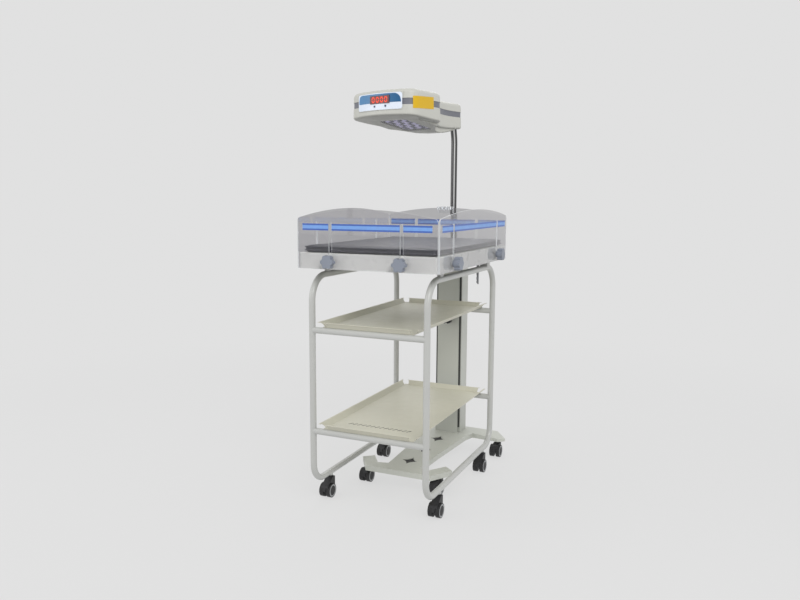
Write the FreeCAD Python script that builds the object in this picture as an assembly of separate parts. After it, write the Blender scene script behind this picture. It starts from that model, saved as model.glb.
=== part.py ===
import FreeCAD, Part
import math
import os

# Infant phototherapy unit: a bassinet on a tubular trolley, and a separate lamp stand whose low
# base rolls in under the trolley, so that the lamp head hangs over the mattress.
# Millimetres. X is across the unit, Y runs from the foot end (front) to the column (rear), Z is up.
# The pieces are laid out about the middle of the trolley and moved to the middle of the footprint
# when they are written.

V = FreeCAD.Vector
X = V(1, 0, 0)
Y = V(0, 1, 0)
Z = V(0, 0, 1)

# Clearances
run_fit = 0.05            # radial, shaft turning or sliding in its bore
seat_gap = 0.3            # between pieces that rest on each other
slip_gap = 1.0            # around pieces that pass each other freely

# Trolley frame
tube_d = 22.0
leg_half_x = 210.0        # side frames, centre of tube from the middle
leg_half_y = 344.0        # upright legs, centre of tube from the middle
frame_bottom_z = 87.0     # centre of the bottom run
frame_top_z = 808.0       # centre of the top run
top_bend_r = 85.0
bottom_bend_r = 65.0
crossbar_zs = (626.0, 273.0)

# Shelves
shelf_sheet = 1.5
shelf_side_gap = 44.0      # flat of the shelf ends this far inside the side frames
shelf_flare_x = 15.0
shelf_flare_y = 8.0
shelf_flange_h = 18.0
shelf_lip = 4.0
shelf_notch_r = 13.0
shelf_reach_y = 2.0       # flat of the shelf beyond the crossbar's centre
vent_slot_count = 14
vent_slot_pitch = 17.0
vent_slot_len = 20.0
vent_slot_w = 4.0
vent_slot_inset = 92.0
vent_slot_slant = 35.0

# Bassinet
base_side = 40.0          # pan beyond the side frames
base_end = 14.0           # pan beyond the upright legs
base_z0 = 836.5
base_h = 52.8
base_wall = 3.0
base_corner_r = 12.0
rail_w = 30.0
rail_wall = 2.0
rail_setback = 44.0       # rail ends this far inside the upright legs
rail_rise = 2.5           # rail's lower edge above the skirt's lower edge
hinge_setback = 109.0     # hinge and rest pads inside the upright legs
hinge_pin_d = 8.0
hinge_above_tube = 27.0   # pin's centre above the top of the tube
ear_w = 12.0
ear_len = 26.0
pad_len = 30.0
pad_sink = 4.0            # pad's saddle starts this far above the centre of its tube
mattress_h = 26.0
mattress_inset = 7.0
mattress_corner_r = 22.0

# Clear walls
wall_t = 5.0
wall_corner_z = 1007.0
wall_crown = 26.0
wall_corner_r = 12.0
wall_margin = 0.5         # long and short walls meet at the corners with this gap
slot_w = 11.0
slot_top_z = 990.0
clamp_z = 862.0
clamp_setback_x = 122.0   # clamps on the end walls, in from the pan's corner
clamp_setback_y = 123.0   # clamps on the side walls, in from the pan's corner
stud_d = 8.0
stud_nut_d = 15.0
stud_nut_h = 5.0
knob_d = 46.0
knob_head_h = 20.0
knob_hub_d = 24.0
knob_hub_h = 7.0
knob_lobes = 6
knob_scallop_r = 9.0
knob_scallop_out = 4.5    # scallop centre beyond the knob's rim
knob_bore_left = 6.0      # solid end over the stud

# Tube clip on the rear wall
clip_len = 62.0
clip_drop = 22.0
clip_rise = 5.0
clip_wall = 3.5
ring_d = 27.0
ring_bore_d = 19.0
ring_h = 13.0
ring_pitch = 33.0

# Tilt stay
stay_before_pad = 31.0    # stay's pin in front of the rest pad's middle
stay_w = 16.0
stay_t = 4.0
stay_len = 112.0
stay_pin_d = 6.0
stay_pin_z = 850.0
stay_notch_d = 7.0
stay_notch_count = 3
stay_notch_pitch = 16.0

# Castors
wheel_d = 50.0
wheel_w = 15.0
castor_web = 11.0
castor_gap = 0.6          # between web and wheel
castor_trail = 21.0
castor_hood_t = 1.5
stand_castor_z = 58.0     # top of the stand's castors
trolley_castor_gap = 1.5  # top of the trolley's castors under the tube
castor_neck_d = 19.0
castor_axle_boss_d = 14.0
castor_shoulder_w = 27.0
castor_shoulder_drop = 5.0  # shoulder's top under the top of the trolley's castors
castor_stem_d = 10.0
castor_stem_len = 13.0
castor_axle_d = 6.0
socket_d = 19.0
socket_gap = 0.3
front_stem_setback = 116.0  # castor stems inside the upright legs
rear_stem_setback = 101.0

# Lamp stand
stand_plate = 3.0
stand_top_z = 75.0
stand_skirt_z = 55.0
stand_x = -6.0            # the stand's middle line, off the trolley's
stand_front_stem = (143.0, -34.0)
stand_rear_stem = (222.0, 440.0)
wing_front_half = 131.0   # front cross-piece
wing_front_y = -90.0
wing_tip_half = 184.0
wing_tip_y = -8.0
wing_back_half = 148.0
wing_back_y = 24.0
wing_root_half = 104.0
wing_root_y = -40.0
beam_start_half = 64.0    # beam, widening to the foot
beam_start_y = -30.0
beam_neck_half = 74.0
beam_neck_y = 150.0
beam_end_half = 94.0
beam_end_y = 400.0
foot_root_half = 108.0    # rear foot
foot_root_y = 450.0
foot_toe_half = 228.0
foot_toe_y = 420.0
foot_tip_half = 255.0
foot_tip_y = 438.0
foot_heel_half = 197.0
foot_heel_y = 523.0
foot_back_half = 60.0
foot_tip_skirt = 11.0     # height of the skirt at the tips
beam_floor_t = 2.0
star_count = 3
star_first_y = 27.0
star_pitch = 146.0
star_half_x = 34.0
star_half_y = 44.0
star_waist_x = 11.5       # inward corners of the star
star_waist_y = 14.0
column_w = 112.0
column_d = 82.0
column_y = 466.0
column_top_z = 880.0
column_wall = 4.0
column_rebate = 9.0
seal_recess = 3.0
cap_t = 6.0
cap_collar_d = 46.0
cap_collar_h = 14.0
mast_d = 26.0
mast_wall = 2.0
mast_bottom_z = 400.0
mast_joint_z = 1275.0
guide_z0 = 556.0
guide_h = 40.0
column_knob_z = 576.0
column_knob_d = 53.0
column_knob_head_h = 20.0
column_knob_hub_h = 9.0
column_knob_stud_d = 10.0

# Mains module on the back of the column
module_w = 34.0
module_h = 64.0
module_z = 190.0
module_face = 3.0
module_depth = 20.0
inlet_w = 24.0
inlet_h = 17.0
inlet_depth = 16.0
inlet_dz = -13.0
pin_w = 2.0
pin_h = 5.0
pin_out = 9.0
rocker_w = 13.0
rocker_h = 19.0
rocker_t = 9.0
rocker_dz = 17.0
rocker_pin_d = 3.0
rocker_throw = 6.0        # degrees each side of level

# Lamp head, along its own axis from the mast: L forward, W sideways
head_yaw = 14.2
head_front = 505.0
head_front_r = 330.0
head_half_w = 150.0
head_corner_r = 45.0
head_side_reach = 330.0       # where the sides turn in towards the neck
head_shoulder_r = 60.0
head_waist_r = 300.0
neck_end_reach = 5.0
neck_end_r = 30.0
head_rim_z = 1364.0       # front lower rim
head_mid_z = 1347.0       # middle of the casing's bowed underside
head_mid_reach = 190.0
head_tail_z = 1356.0
pan_half_w = 116.0        # shallow pan under the casing, carrying the lens
pan_front_reach = 455.0
pan_front_z = 1361.0
pan_ridge_reach = 200.0
pan_ridge_z = 1327.0
pan_back_reach = 32.0
pan_back_z = 1346.0
pan_sag = 6.0             # bulge of the pan's rear part below a straight line
pan_corner_r = 50.0
band_z0 = 1399.0
band_h = 22.0
head_top_z = 1455.0
head_draft = 2.0
head_wall = 3.0
head_top_fillet = 16.0
head_bottom_fillet = 9.0
band_inset = 1.8
band_t = 3.0
neck_bend = 10.0          # degrees that the tube leans under the neck
neck_bend_r = 240.0
neck_straight = 15.0
neck_insert = 34.0
spigot_len = 40.0
window_reach = 325.0
window_len = 172.0
window_w = 128.0
window_t = 3.0
window_corner_r = 16.0
board_lift = 9.0          # board above the lens, square to it
board_len = 196.0
board_w = 144.0
board_t = 2.0
board_post_d = 6.0
board_post_inset = 3.5
led_rows = 8
led_cols = 6
led_pitch = 20.0
led_size = 10.0
led_h = 2.0
sink_len = 170.0
sink_w = 124.0
sink_base = 5.0
sink_fin_h = 24.0
sink_fin_t = 3.0
sink_fins = 8

# Control panel on the front of the head
panel_angle = 1.8         # middle of the panel, off straight ahead
panel_half_angle = 17.4
panel_z0 = 1384.0
panel_h = 58.0
panel_t = 1.2
panel_corner_r = 9.0
bay_side = 8.0
bay_depth = 14.0
land_margin = 0.4         # degrees
land_edge = 2.0
bay_edge = 5.0
display_angle = 3.4
display_w = 84.0
display_h = 28.0
display_z = 1419.0
display_depth = 15.0
display_proud = 0.6
button_d = 7.0
button_angles = (-0.5, 7.8)
button_z = 1396.5
button_out = 1.8
button_len = 9.0

tube_r = tube_d / 2
tube_top_z = frame_top_z + tube_r
base_half_x = leg_half_x + base_side
base_half_y = leg_half_y + base_end
shelf_base_half_x = leg_half_x - shelf_side_gap
rail_half_y = leg_half_y - rail_setback
hinge_y = hinge_setback - leg_half_y
pad_y = leg_half_y - hinge_setback
stay_y = pad_y - stay_before_pad
clamp_x = base_half_x - clamp_setback_x
clamp_y = base_half_y - clamp_setback_y
front_stem_y = front_stem_setback - leg_half_y
rear_stem_y = leg_half_y - rear_stem_setback
trolley_castor_z = frame_bottom_z - tube_r - trolley_castor_gap
deck_z = base_z0 + base_h
rail_z0 = base_z0 + rail_rise
rail_z1 = deck_z - base_wall
hinge_z = tube_top_z + hinge_above_tube
wheel_r = wheel_d / 2
hood_r = wheel_r + slip_gap + castor_hood_t
knob_gap = 0.4
knob_reach = seat_gap + wall_t + knob_gap + knob_hub_h + knob_head_h
stand_back_y = 530.0
footprint_front_y = -(base_half_y + knob_reach)
footprint_middle_y = (footprint_front_y + stand_back_y) / 2


def box(x0, x1, y0, y1, z0, z1):
    return Part.makeBox(x1 - x0, y1 - y0, z1 - z0, V(x0, y0, z0))


def rod(d, start, direction, length):
    return Part.makeCylinder(d / 2, length, start, direction)


def polygon(points):
    return Part.makePolygon(points + [points[0]])


def slab(points, depth):
    return Part.Face(polygon(points)).extrude(depth)


def rounded_block(x0, x1, y0, y1, z0, z1, r):
    solid = box(x0, x1, y0, y1, z0, z1)
    upright = [e for e in solid.Edges if abs(e.tangentAt(e.FirstParameter).z) > 0.99]
    return solid.makeFillet(r, upright)


def edges_at(shape, z):
    """Edges that lie level at height z."""
    return [e for e in shape.Edges if abs(e.BoundBox.ZMin - z) < 0.05 and abs(e.BoundBox.ZMax - z) < 0.05]


def mirrored(shape, normal):
    return shape.mirror(V(0, 0, 0), normal)


def fused(shapes):
    whole = shapes[0].multiFuse(shapes[1:]) if len(shapes) > 1 else shapes[0]
    return whole.removeSplitter()


def save(name, shapes, x=0.0):
    group = shapes if isinstance(shapes, list) else [shapes]
    solids = [s for shape in group for s in shape.Solids]
    whole = solids[0] if len(solids) == 1 else Part.makeCompound(solids)
    whole = whole.copy()
    whole.translate(V(x, -footprint_middle_y, 0))
    whole.exportStep("parts/" + name + ".step")


# Trolley

def tube_run(start, end):
    path = end - start
    return rod(tube_d, start, path, path.Length)


def side_loop(x):
    """Closed loop of tube: two legs, a top run and a bottom run, joined by bends."""
    top = frame_top_z - top_bend_r
    low = frame_bottom_z + bottom_bend_r
    pieces = []
    for side in (-1, 1):
        leg = side * leg_half_y
        pieces.append(tube_run(V(x, leg, low), V(x, leg, top)))
        pieces.append(quarter_bend(x, leg - side * top_bend_r, top, top_bend_r, side, 1))
        pieces.append(quarter_bend(x, leg - side * bottom_bend_r, low, bottom_bend_r, side, -1))
    top_end = leg_half_y - top_bend_r
    low_end = leg_half_y - bottom_bend_r
    pieces.append(tube_run(V(x, -top_end, frame_top_z), V(x, top_end, frame_top_z)))
    pieces.append(tube_run(V(x, -low_end, frame_bottom_z), V(x, low_end, frame_bottom_z)))
    return fused(pieces)


def quarter_bend(x, y, z, r, side, up):
    """A quarter of a ring of tube about (y, z), between the run along Y and the leg."""
    section = Part.Face(Part.Wire(Part.makeCircle(tube_r, V(x, y, z + up * r), Y)))
    turn = -90 * side * up
    return section.revolve(V(x, y, z), X, turn)


def castor_socket(x, y, castor_z, top_z):
    return rod(socket_d, V(x, y, castor_z + socket_gap), Z, top_z - castor_z - socket_gap)


def stem_bore(x, y, castor_z):
    bore_d = castor_stem_d + 2 * run_fit
    return rod(bore_d, V(x, y, castor_z), Z, castor_stem_len + slip_gap)


def trolley_stems():
    x = leg_half_x
    return [("trolley_front_left", -x, front_stem_y), ("trolley_front_right", x, front_stem_y),
            ("trolley_rear_left", -x, rear_stem_y), ("trolley_rear_right", x, rear_stem_y)]


def side_frame(side):
    x = side * leg_half_x
    frame = side_loop(x)
    sockets = [castor_socket(x, y, trolley_castor_z, frame_bottom_z) for y in (front_stem_y, rear_stem_y)]
    frame = fused([frame] + sockets)
    for y in (front_stem_y, rear_stem_y):
        frame = frame.cut(stem_bore(x, y, trolley_castor_z))
    return frame


def crossbars():
    """Front and rear bars at each shelf, their ends shaped to the legs."""
    bars = []
    for z in crossbar_zs:
        for side in (-1, 1):
            y = side * leg_half_y
            bar = rod(tube_d, V(-leg_half_x, y, z), X, 2 * leg_half_x)
            for leg in (-leg_half_x, leg_half_x):
                bar = bar.cut(rod(tube_d, V(leg, y, z - tube_d), Z, 2 * tube_d))
            inner = [s for s in bar.Solids if abs(s.CenterOfMass.x) < tube_d]
            bars.append(inner[0])
    return bars


def rectangle(half_x, half_y, z):
    return polygon([V(-half_x, -half_y, z), V(half_x, -half_y, z),
                    V(half_x, half_y, z), V(-half_x, half_y, z)])


def tray_frustum(half_x, half_y, grow_x, grow_y, z, h):
    return Part.makeLoft([rectangle(half_x, half_y, z), rectangle(half_x + grow_x, half_y + grow_y, z + h)],
                         True, True)


def shelf(bar_z, slotted):
    """Folded sheet tray with four flared flanges, small turned-out lips and open corners."""
    z = bar_z + tube_r + seat_gap
    half_y = leg_half_y + shelf_reach_y
    outer = tray_frustum(shelf_base_half_x, half_y, shelf_flare_x, shelf_flare_y, z, shelf_flange_h)
    slope_x = shelf_flare_x / shelf_flange_h
    slope_y = shelf_flare_y / shelf_flange_h
    side_x = shelf_sheet * math.hypot(1, slope_x)
    side_y = shelf_sheet * math.hypot(1, slope_y)
    rise = shelf_flange_h
    inner_x = shelf_base_half_x - side_x + slope_x * shelf_sheet
    inner_y = half_y - side_y + slope_y * shelf_sheet
    inner = tray_frustum(inner_x, inner_y, slope_x * rise, slope_y * rise, z + shelf_sheet, rise)
    tray = outer.cut(inner)
    top = z + shelf_flange_h
    hx = shelf_base_half_x + shelf_flare_x
    hy = half_y + shelf_flare_y
    lip = box(-hx - shelf_lip, hx + shelf_lip, -hy - shelf_lip, hy + shelf_lip, top - shelf_sheet, top)
    lip = lip.cut(box(-hx + side_x, hx - side_x, -hy + side_y, hy - side_y, z, top + 1))
    lip = lip.cut(tray_frustum(shelf_base_half_x, half_y, shelf_flare_x, shelf_flare_y, z, shelf_flange_h))
    tray = fused([tray, lip])
    for sx in (-1, 1):
        for sy in (-1, 1):
            corner = V(sx * shelf_base_half_x, sy * half_y, z + shelf_sheet)
            notch = rod(2 * shelf_notch_r, corner - Z * shelf_sheet, Z, 2 * shelf_flange_h)
            far = 3 * shelf_notch_r
            reach = slab([corner, corner + V(sx * far, sy * far / 3, 0), corner + V(sx * far, sy * far, 0),
                          corner + V(sx * far / 3, sy * far, 0)], Z * 2 * shelf_flange_h)
            above = box(-2 * hx, 2 * hx, -2 * hy, 2 * hy, z + shelf_sheet + 0.5, top + 1)
            tray = tray.cut(fused([notch, reach]).common(above))
    if slotted:
        for i in range(vent_slot_count):
            sx = (i - (vent_slot_count - 1) / 2) * vent_slot_pitch
            cut = box(-vent_slot_w / 2, vent_slot_w / 2, -vent_slot_len / 2, vent_slot_len / 2,
                      -1, shelf_sheet + 1)
            cut.rotate(V(0, 0, 0), Z, -vent_slot_slant)
            cut.translate(V(sx, -half_y + vent_slot_inset, z))
            tray = tray.cut(cut)
    return tray


def bed_brackets():
    """Hinge ears at the front and rest saddles at the rear, shaped to the top runs."""
    pieces = []
    for side in (-1, 1):
        x = side * leg_half_x
        tube = rod(tube_d, V(x, -leg_half_y, frame_top_z), Y, 2 * leg_half_y)
        ear = box(x - ear_w / 2, x + ear_w / 2, hinge_y - ear_len / 2, hinge_y + ear_len / 2,
                  frame_top_z, hinge_z)
        ear = fused([ear, rod(ear_len, V(x - ear_w / 2, hinge_y, hinge_z), X, ear_w)])
        ear = ear.cut(rod(hinge_pin_d + 2 * run_fit, V(x - ear_w, hinge_y, hinge_z), X, 2 * ear_w))
        pieces.append(ear.cut(tube))
        half = rail_w / 2
        pad = box(x - half, x + half, pad_y - pad_len / 2, pad_y + pad_len / 2,
                  frame_top_z + pad_sink, rail_z0 - seat_gap)
        pieces.append(pad.cut(tube))
    return pieces


# Bassinet

def bassinet_base():
    """Open-bottomed pan: deck and four skirts, with holes for the clamp studs."""
    bx = base_half_x
    by = base_half_y
    outer = rounded_block(-bx, bx, -by, by, base_z0, deck_z, base_corner_r)
    bx = base_half_x - base_wall
    by = base_half_y - base_wall
    inner = rounded_block(-bx, bx, -by, by, base_z0 - 1, deck_z - base_wall, base_corner_r - base_wall)
    pan = outer.cut(inner)
    pan = pan.makeFillet(base_wall - 0.6, edges_at(pan, deck_z))
    for origin, out in clamp_points():
        pan = pan.cut(rod(stud_d, origin - out * (base_wall + 2), out, base_wall + 4))
    return pan


def clamp_points():
    """Where each clamp stud leaves the skirt, and which way it points."""
    points = []
    for side in (-1, 1):
        for along in (-1, 1):
            points.append((V(along * clamp_x, side * base_half_y, clamp_z), V(0, side, 0)))
        for along in (-1, 1):
            points.append((V(side * base_half_x, along * clamp_y, clamp_z), V(side, 0, 0)))
    return points


def bed_rails():
    """Inverted channels under the deck, with the hinge pins, and the stay's stub on the right one."""
    rails = []
    for side in (-1, 1):
        x = side * leg_half_x
        rail = box(x - rail_w / 2, x + rail_w / 2, -rail_half_y, rail_half_y, rail_z0, rail_z1)
        half = rail_w / 2 - rail_wall
        end = rail_half_y + 1
        rail = rail.cut(box(x - half, x + half, -end, end, rail_z0 - 1, rail_z1 - rail_wall))
        pin = rod(hinge_pin_d, V(x - rail_w / 2, hinge_y, hinge_z), X, rail_w)
        parts = [rail, pin]
        if side > 0:
            stub_x = x - rail_w / 2
            stub_len = seat_gap + stay_t + seat_gap
            parts.append(rod(stay_pin_d, V(stub_x, stay_y, stay_pin_z), -X, stub_len))
            parts.append(rod(2 * stay_pin_d, V(stub_x - stub_len, stay_y, stay_pin_z), -X, 2))
        rails.append(fused(parts))
    return rails


def tilt_stay():
    """Flat bar that hangs from the right rail, with catch notches and a slanted lower end."""
    x1 = leg_half_x - rail_w / 2 - seat_gap
    x0 = x1 - stay_t
    top = stay_pin_z
    low = stay_pin_z - stay_len + stay_w / 2
    half = stay_w / 2
    bar = slab([V(x0, stay_y - half, top), V(x0, stay_y + half, top), V(x0, stay_y + half, low),
                V(x0, stay_y - half, low + half)], X * stay_t)
    bar = fused([bar, rod(stay_w, V(x0, stay_y, top), X, stay_t)])
    bar = bar.cut(rod(stay_pin_d + 2 * run_fit, V(x0 - 1, stay_y, top), X, stay_t + 2))
    for i in range(stay_notch_count):
        z = low + stay_w + i * stay_notch_pitch
        bar = bar.cut(rod(stay_notch_d, V(x0 - 1, stay_y - half, z), X, stay_t + 2))
    return bar


def mattress():
    hx = base_half_x - mattress_inset
    hy = base_half_y - mattress_inset
    z = deck_z + seat_gap
    return rounded_block(-hx, hx, -hy, hy, z, z + mattress_h, mattress_corner_r)


def crowned_panel(half_len, thickness, bottom_z):
    """Upright panel in the XZ plane, its top edge an arc, standing on y = 0 and growing to +Y."""
    edge_z = wall_corner_z - wall_corner_r
    corner_x = half_len - wall_corner_r
    diag = wall_corner_r * (1 - math.sqrt(0.5))
    crest = V(0, 0, wall_corner_z + wall_crown)
    foot, edge, bulge, corner = [], [], [], []
    for side in (-1, 1):
        foot.append(V(side * half_len, 0, bottom_z))
        edge.append(V(side * half_len, 0, edge_z))
        bulge.append(V(side * (half_len - diag), 0, wall_corner_z - diag))
        corner.append(V(side * corner_x, 0, wall_corner_z))
    wire = Part.Wire([Part.LineSegment(foot[0], foot[1]).toShape(),
                      Part.LineSegment(foot[1], edge[1]).toShape(),
                      Part.Arc(edge[1], bulge[1], corner[1]).toShape(),
                      Part.Arc(corner[1], crest, corner[0]).toShape(),
                      Part.Arc(corner[0], bulge[0], edge[0]).toShape(),
                      Part.LineSegment(edge[0], foot[0]).toShape()])
    return Part.Face(wire).extrude(Y * thickness)


def slot_cut(x):
    low = clamp_z - stud_d / 2 - slip_gap + slot_w / 2
    high = slot_top_z - slot_w / 2
    cut = box(x - slot_w / 2, x + slot_w / 2, -1, wall_t + 1, low, high)
    ends = [rod(slot_w, V(x, -1, z), Y, wall_t + 2) for z in (low, high)]
    return fused([cut] + ends)


def wall_panel(half_len, slot_x):
    panel = crowned_panel(half_len, wall_t, base_z0)
    for x in (-slot_x, slot_x):
        panel = panel.cut(slot_cut(x))
    return panel


def end_wall(side):
    wall = wall_panel(base_half_x, clamp_x)
    y = base_half_y + seat_gap
    wall.translate(V(0, y, 0))
    return wall if side > 0 else mirrored(wall, Y)


def long_wall(side):
    wall = wall_panel(base_half_y - wall_margin, clamp_y)
    wall.rotate(V(0, 0, 0), Z, -90)
    wall.translate(V(base_half_x + seat_gap, 0, 0))
    return wall if side > 0 else mirrored(wall, X)


def clamp_studs():
    studs = []
    for origin, out in clamp_points():
        inner = origin - out * base_wall
        nut = rod(stud_nut_d, inner - out * stud_nut_h, out, stud_nut_h)
        length = base_wall + knob_reach - knob_bore_left - seat_gap
        studs.append(fused([nut, rod(stud_d, inner, out, length)]))
    return studs


def lobed_disc(d, h, origin, out, across, lobes):
    disc = rod(d, origin, out, h)
    for i in range(lobes):
        spoke = FreeCAD.Rotation(out, 360.0 * i / lobes).multVec(across)
        centre = origin + spoke * (d / 2 + knob_scallop_out)
        disc = disc.cut(rod(2 * knob_scallop_r, centre - out, out, h + 2))
    return disc


def clamp_knob(origin, out):
    """Lobed knob on its stud, its hub against the wall's outer face."""
    face = origin + out * (seat_gap + wall_t + knob_gap)
    hub = rod(knob_hub_d, face, out, knob_hub_h)
    head = lobed_disc(knob_d, knob_head_h, face + out * knob_hub_h, out, Z, knob_lobes)
    knob = fused([hub, head])
    bore = rod(stud_d + 2 * run_fit, face - out, out, knob_hub_h + knob_head_h - knob_bore_left + 1)
    return knob.cut(bore)


def tube_clip():
    """Clip astride the rear wall's crest, with two rings for breathing tubes."""
    y0 = base_half_y + seat_gap
    crest = wall_corner_z + wall_crown
    saddle = box(-clip_len / 2, clip_len / 2, y0 - clip_wall, y0 + wall_t + clip_wall,
                 crest - clip_drop, crest + clip_rise)
    wall = crowned_panel(base_half_x, wall_t + 2 * run_fit, base_z0)
    wall.translate(V(0, y0 - run_fit, run_fit))
    saddle = saddle.cut(wall)
    rings = []
    ring_y = y0 - clip_wall - ring_d / 2 + 1.5
    for side in (-1, 1):
        foot = V(side * ring_pitch / 2, ring_y, crest + clip_rise - ring_h)
        rings.append(rod(ring_d, foot, Z, ring_h))
    clip = fused([saddle] + rings)
    for side in (-1, 1):
        foot = V(side * ring_pitch / 2, ring_y, crest + clip_rise - ring_h)
        clip = clip.cut(rod(ring_bore_d, foot - Z, Z, ring_h + 2))
        mouth = box(foot.x - 3.5, foot.x + 3.5, ring_y - ring_d, ring_y, foot.z - 1, foot.z + ring_h + 1)
        clip = clip.cut(mouth)
    return clip


# Castors

def castor_housing(x, y, top_z, shoulder_z):
    """Web between the wheels, hood over their treads, sloping shoulder, neck and swivel stem."""
    hub = V(x, y - castor_trail, wheel_r)
    wide = castor_web + 2 * castor_gap + 2 * wheel_w
    hood_w = wide - wheel_w
    reach = 2 * hood_r
    web = rod(2 * hood_r - 1, hub - X * castor_web / 2, X, castor_web)
    web = web.common(box(x - wide, x + wide, hub.y - reach, hub.y + reach, hub.z, hub.z + reach))
    web = fused([web, rod(castor_axle_boss_d, hub - X * castor_web / 2, X, castor_web)])
    hood = rod(2 * hood_r, hub - X * hood_w / 2, X, hood_w)
    low = V(-hood_w, 0, hood_r / 2)
    hood = hood.common(slab([hub + low - Y * reach, hub + low + Y * reach, hub + low + V(0, reach, reach),
                             hub + low + V(0, -reach, reach)], X * 2 * hood_w))
    neck = rod(castor_neck_d, V(x, y, hub.z), Z, top_z - hub.z)
    left = x - castor_shoulder_w / 2
    back = y + castor_neck_d / 2
    shoulder = slab([V(left, back, hub.z + castor_axle_d), V(left, back, shoulder_z),
                     V(left, back - castor_neck_d, shoulder_z),
                     V(left, hub.y - hood_r / 2, min(hub.z + 0.85 * hood_r, shoulder_z)),
                     V(left, hub.y - hood_r / 2, hub.z + castor_axle_d)], X * castor_shoulder_w)
    body = fused([hood, neck, shoulder])
    space = rod(wheel_d + 2 * slip_gap, hub - X * wide, X, 2 * wide)
    space = space.cut(box(x - castor_web / 2, x + castor_web / 2, hub.y - reach, hub.y + reach,
                          hub.z - reach, hub.z + reach))
    body = fused([body.cut(space), web])
    body = body.cut(rod(castor_axle_d + 2 * run_fit, hub - X * wide, X, 2 * wide))
    return fused([body, rod(castor_stem_d, V(x, y, top_z), Z, castor_stem_len)])


def castor_wheels(x, y):
    """Two wheels on one axle."""
    hub = V(x, y - castor_trail, wheel_r)
    inner = castor_web / 2 + castor_gap
    wheels = [rod(wheel_d, hub + X * inner, X, wheel_w)]
    wheels.append(rod(wheel_d, hub - X * inner, -X, wheel_w))
    axle = rod(castor_axle_d, hub - X * (inner + 1), X, 2 * inner + 2)
    return fused(wheels + [axle])


# Lamp stand

def inset_points(points, inset):
    """Corners of a closed outline, listed anticlockwise, moved in by the same distance all round."""
    moved = []
    for i, p in enumerate(points):
        before = (p - points[i - 1]).normalize()
        after = (points[(i + 1) % len(points)] - p).normalize()
        n0 = V(-before.y, before.x, 0)
        n1 = V(-after.y, after.x, 0)
        moved.append(p + (n0 + n1) * (inset / (1 + n0.dot(n1))))
    return moved


def stand_outline(inset):
    """Plan of the folded plate: cross-piece with swept wings, widening beam, and splayed rear foot."""
    half = [V(wing_front_half, wing_front_y, 0), V(wing_tip_half, wing_tip_y, 0),
            V(wing_back_half, wing_back_y, 0), V(wing_root_half, wing_root_y, 0),
            V(beam_start_half, beam_start_y, 0), V(beam_neck_half, beam_neck_y, 0),
            V(beam_end_half, beam_end_y, 0), V(foot_root_half, foot_root_y, 0),
            V(foot_toe_half, foot_toe_y, 0), V(foot_tip_half, foot_tip_y, 0),
            V(foot_heel_half, foot_heel_y, 0), V(foot_back_half, stand_back_y, 0)]
    points = half + [V(-p.x, p.y, 0) for p in reversed(half)]
    return polygon(inset_points(points, inset))


def star_cut(y):
    tips = [V(star_half_x, 0, 0), V(0, star_half_y, 0), V(-star_half_x, 0, 0), V(0, -star_half_y, 0)]
    wx = star_waist_x
    wy = star_waist_y
    waists = [V(wx, wy, 0), V(-wx, wy, 0), V(-wx, -wy, 0), V(wx, -wy, 0)]
    edges = [Part.Arc(tips[i], waists[i], tips[(i + 1) % 4]).toShape() for i in range(4)]
    star = Part.Face(Part.Wire(edges)).extrude(Z * (stand_plate + 2))
    star.translate(V(0, y, stand_top_z - stand_plate - 1))
    return star


def foot_taper(side):
    """Wedge that thins the rear foot's skirt towards its tip."""
    y0 = foot_toe_y - foot_tip_skirt
    x0 = side * foot_root_half
    x1 = side * (foot_tip_half + foot_tip_skirt)
    low = stand_skirt_z - 1
    return slab([V(x0, y0, low), V(x1, y0, low), V(x1, y0, stand_top_z - foot_tip_skirt),
                 V(x0, y0, stand_skirt_z)], Y * (stand_back_y - y0 + 1))


def stand_stems():
    fx, fy = stand_front_stem
    rx, ry = stand_rear_stem
    return [("stand_front_left", -fx, fy), ("stand_front_right", fx, fy),
            ("stand_rear_left", -rx, ry), ("stand_rear_right", rx, ry)]


def stand_base():
    """Folded plate with skirts: front cross-piece, beam with star openings and a floor, rear foot."""
    outer = Part.Face(stand_outline(0)).extrude(Z * (stand_top_z - stand_skirt_z))
    outer.translate(Z * stand_skirt_z)
    inner = Part.Face(stand_outline(stand_plate)).extrude(Z * (stand_top_z - stand_plate - stand_skirt_z + 1))
    inner.translate(Z * (stand_skirt_z - 1))
    plate = outer.cut(inner)
    floor = Part.Face(stand_outline(stand_plate / 2)).extrude(Z * beam_floor_t)
    floor.translate(Z * stand_skirt_z)
    floor = floor.common(box(-beam_end_half, beam_end_half, beam_start_y, beam_end_y, 0, stand_top_z))
    sockets = [castor_socket(x, y, stand_castor_z, stand_top_z - stand_plate) for _, x, y in stand_stems()]
    plate = fused([plate, floor] + sockets)
    for _, x, y in stand_stems():
        plate = plate.cut(stem_bore(x, y, stand_castor_z))
    for side in (-1, 1):
        plate = plate.cut(foot_taper(side))
    for i in range(star_count):
        plate = plate.cut(star_cut(star_first_y + i * star_pitch))
    return plate


def column_points(inset, z):
    """Half outline of the column's section: a box with a rebate down each front corner."""
    hw = column_w / 2 - inset
    front = column_y - column_d / 2 + inset
    back = column_y + column_d / 2 - inset
    step = column_rebate
    return [V(-hw + step, front, z), V(hw - step, front, z), V(hw - step, front + step, z),
            V(hw, front + step, z), V(hw, back, z), V(-hw, back, z),
            V(-hw, front + step, z), V(-hw + step, front + step, z)]


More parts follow.
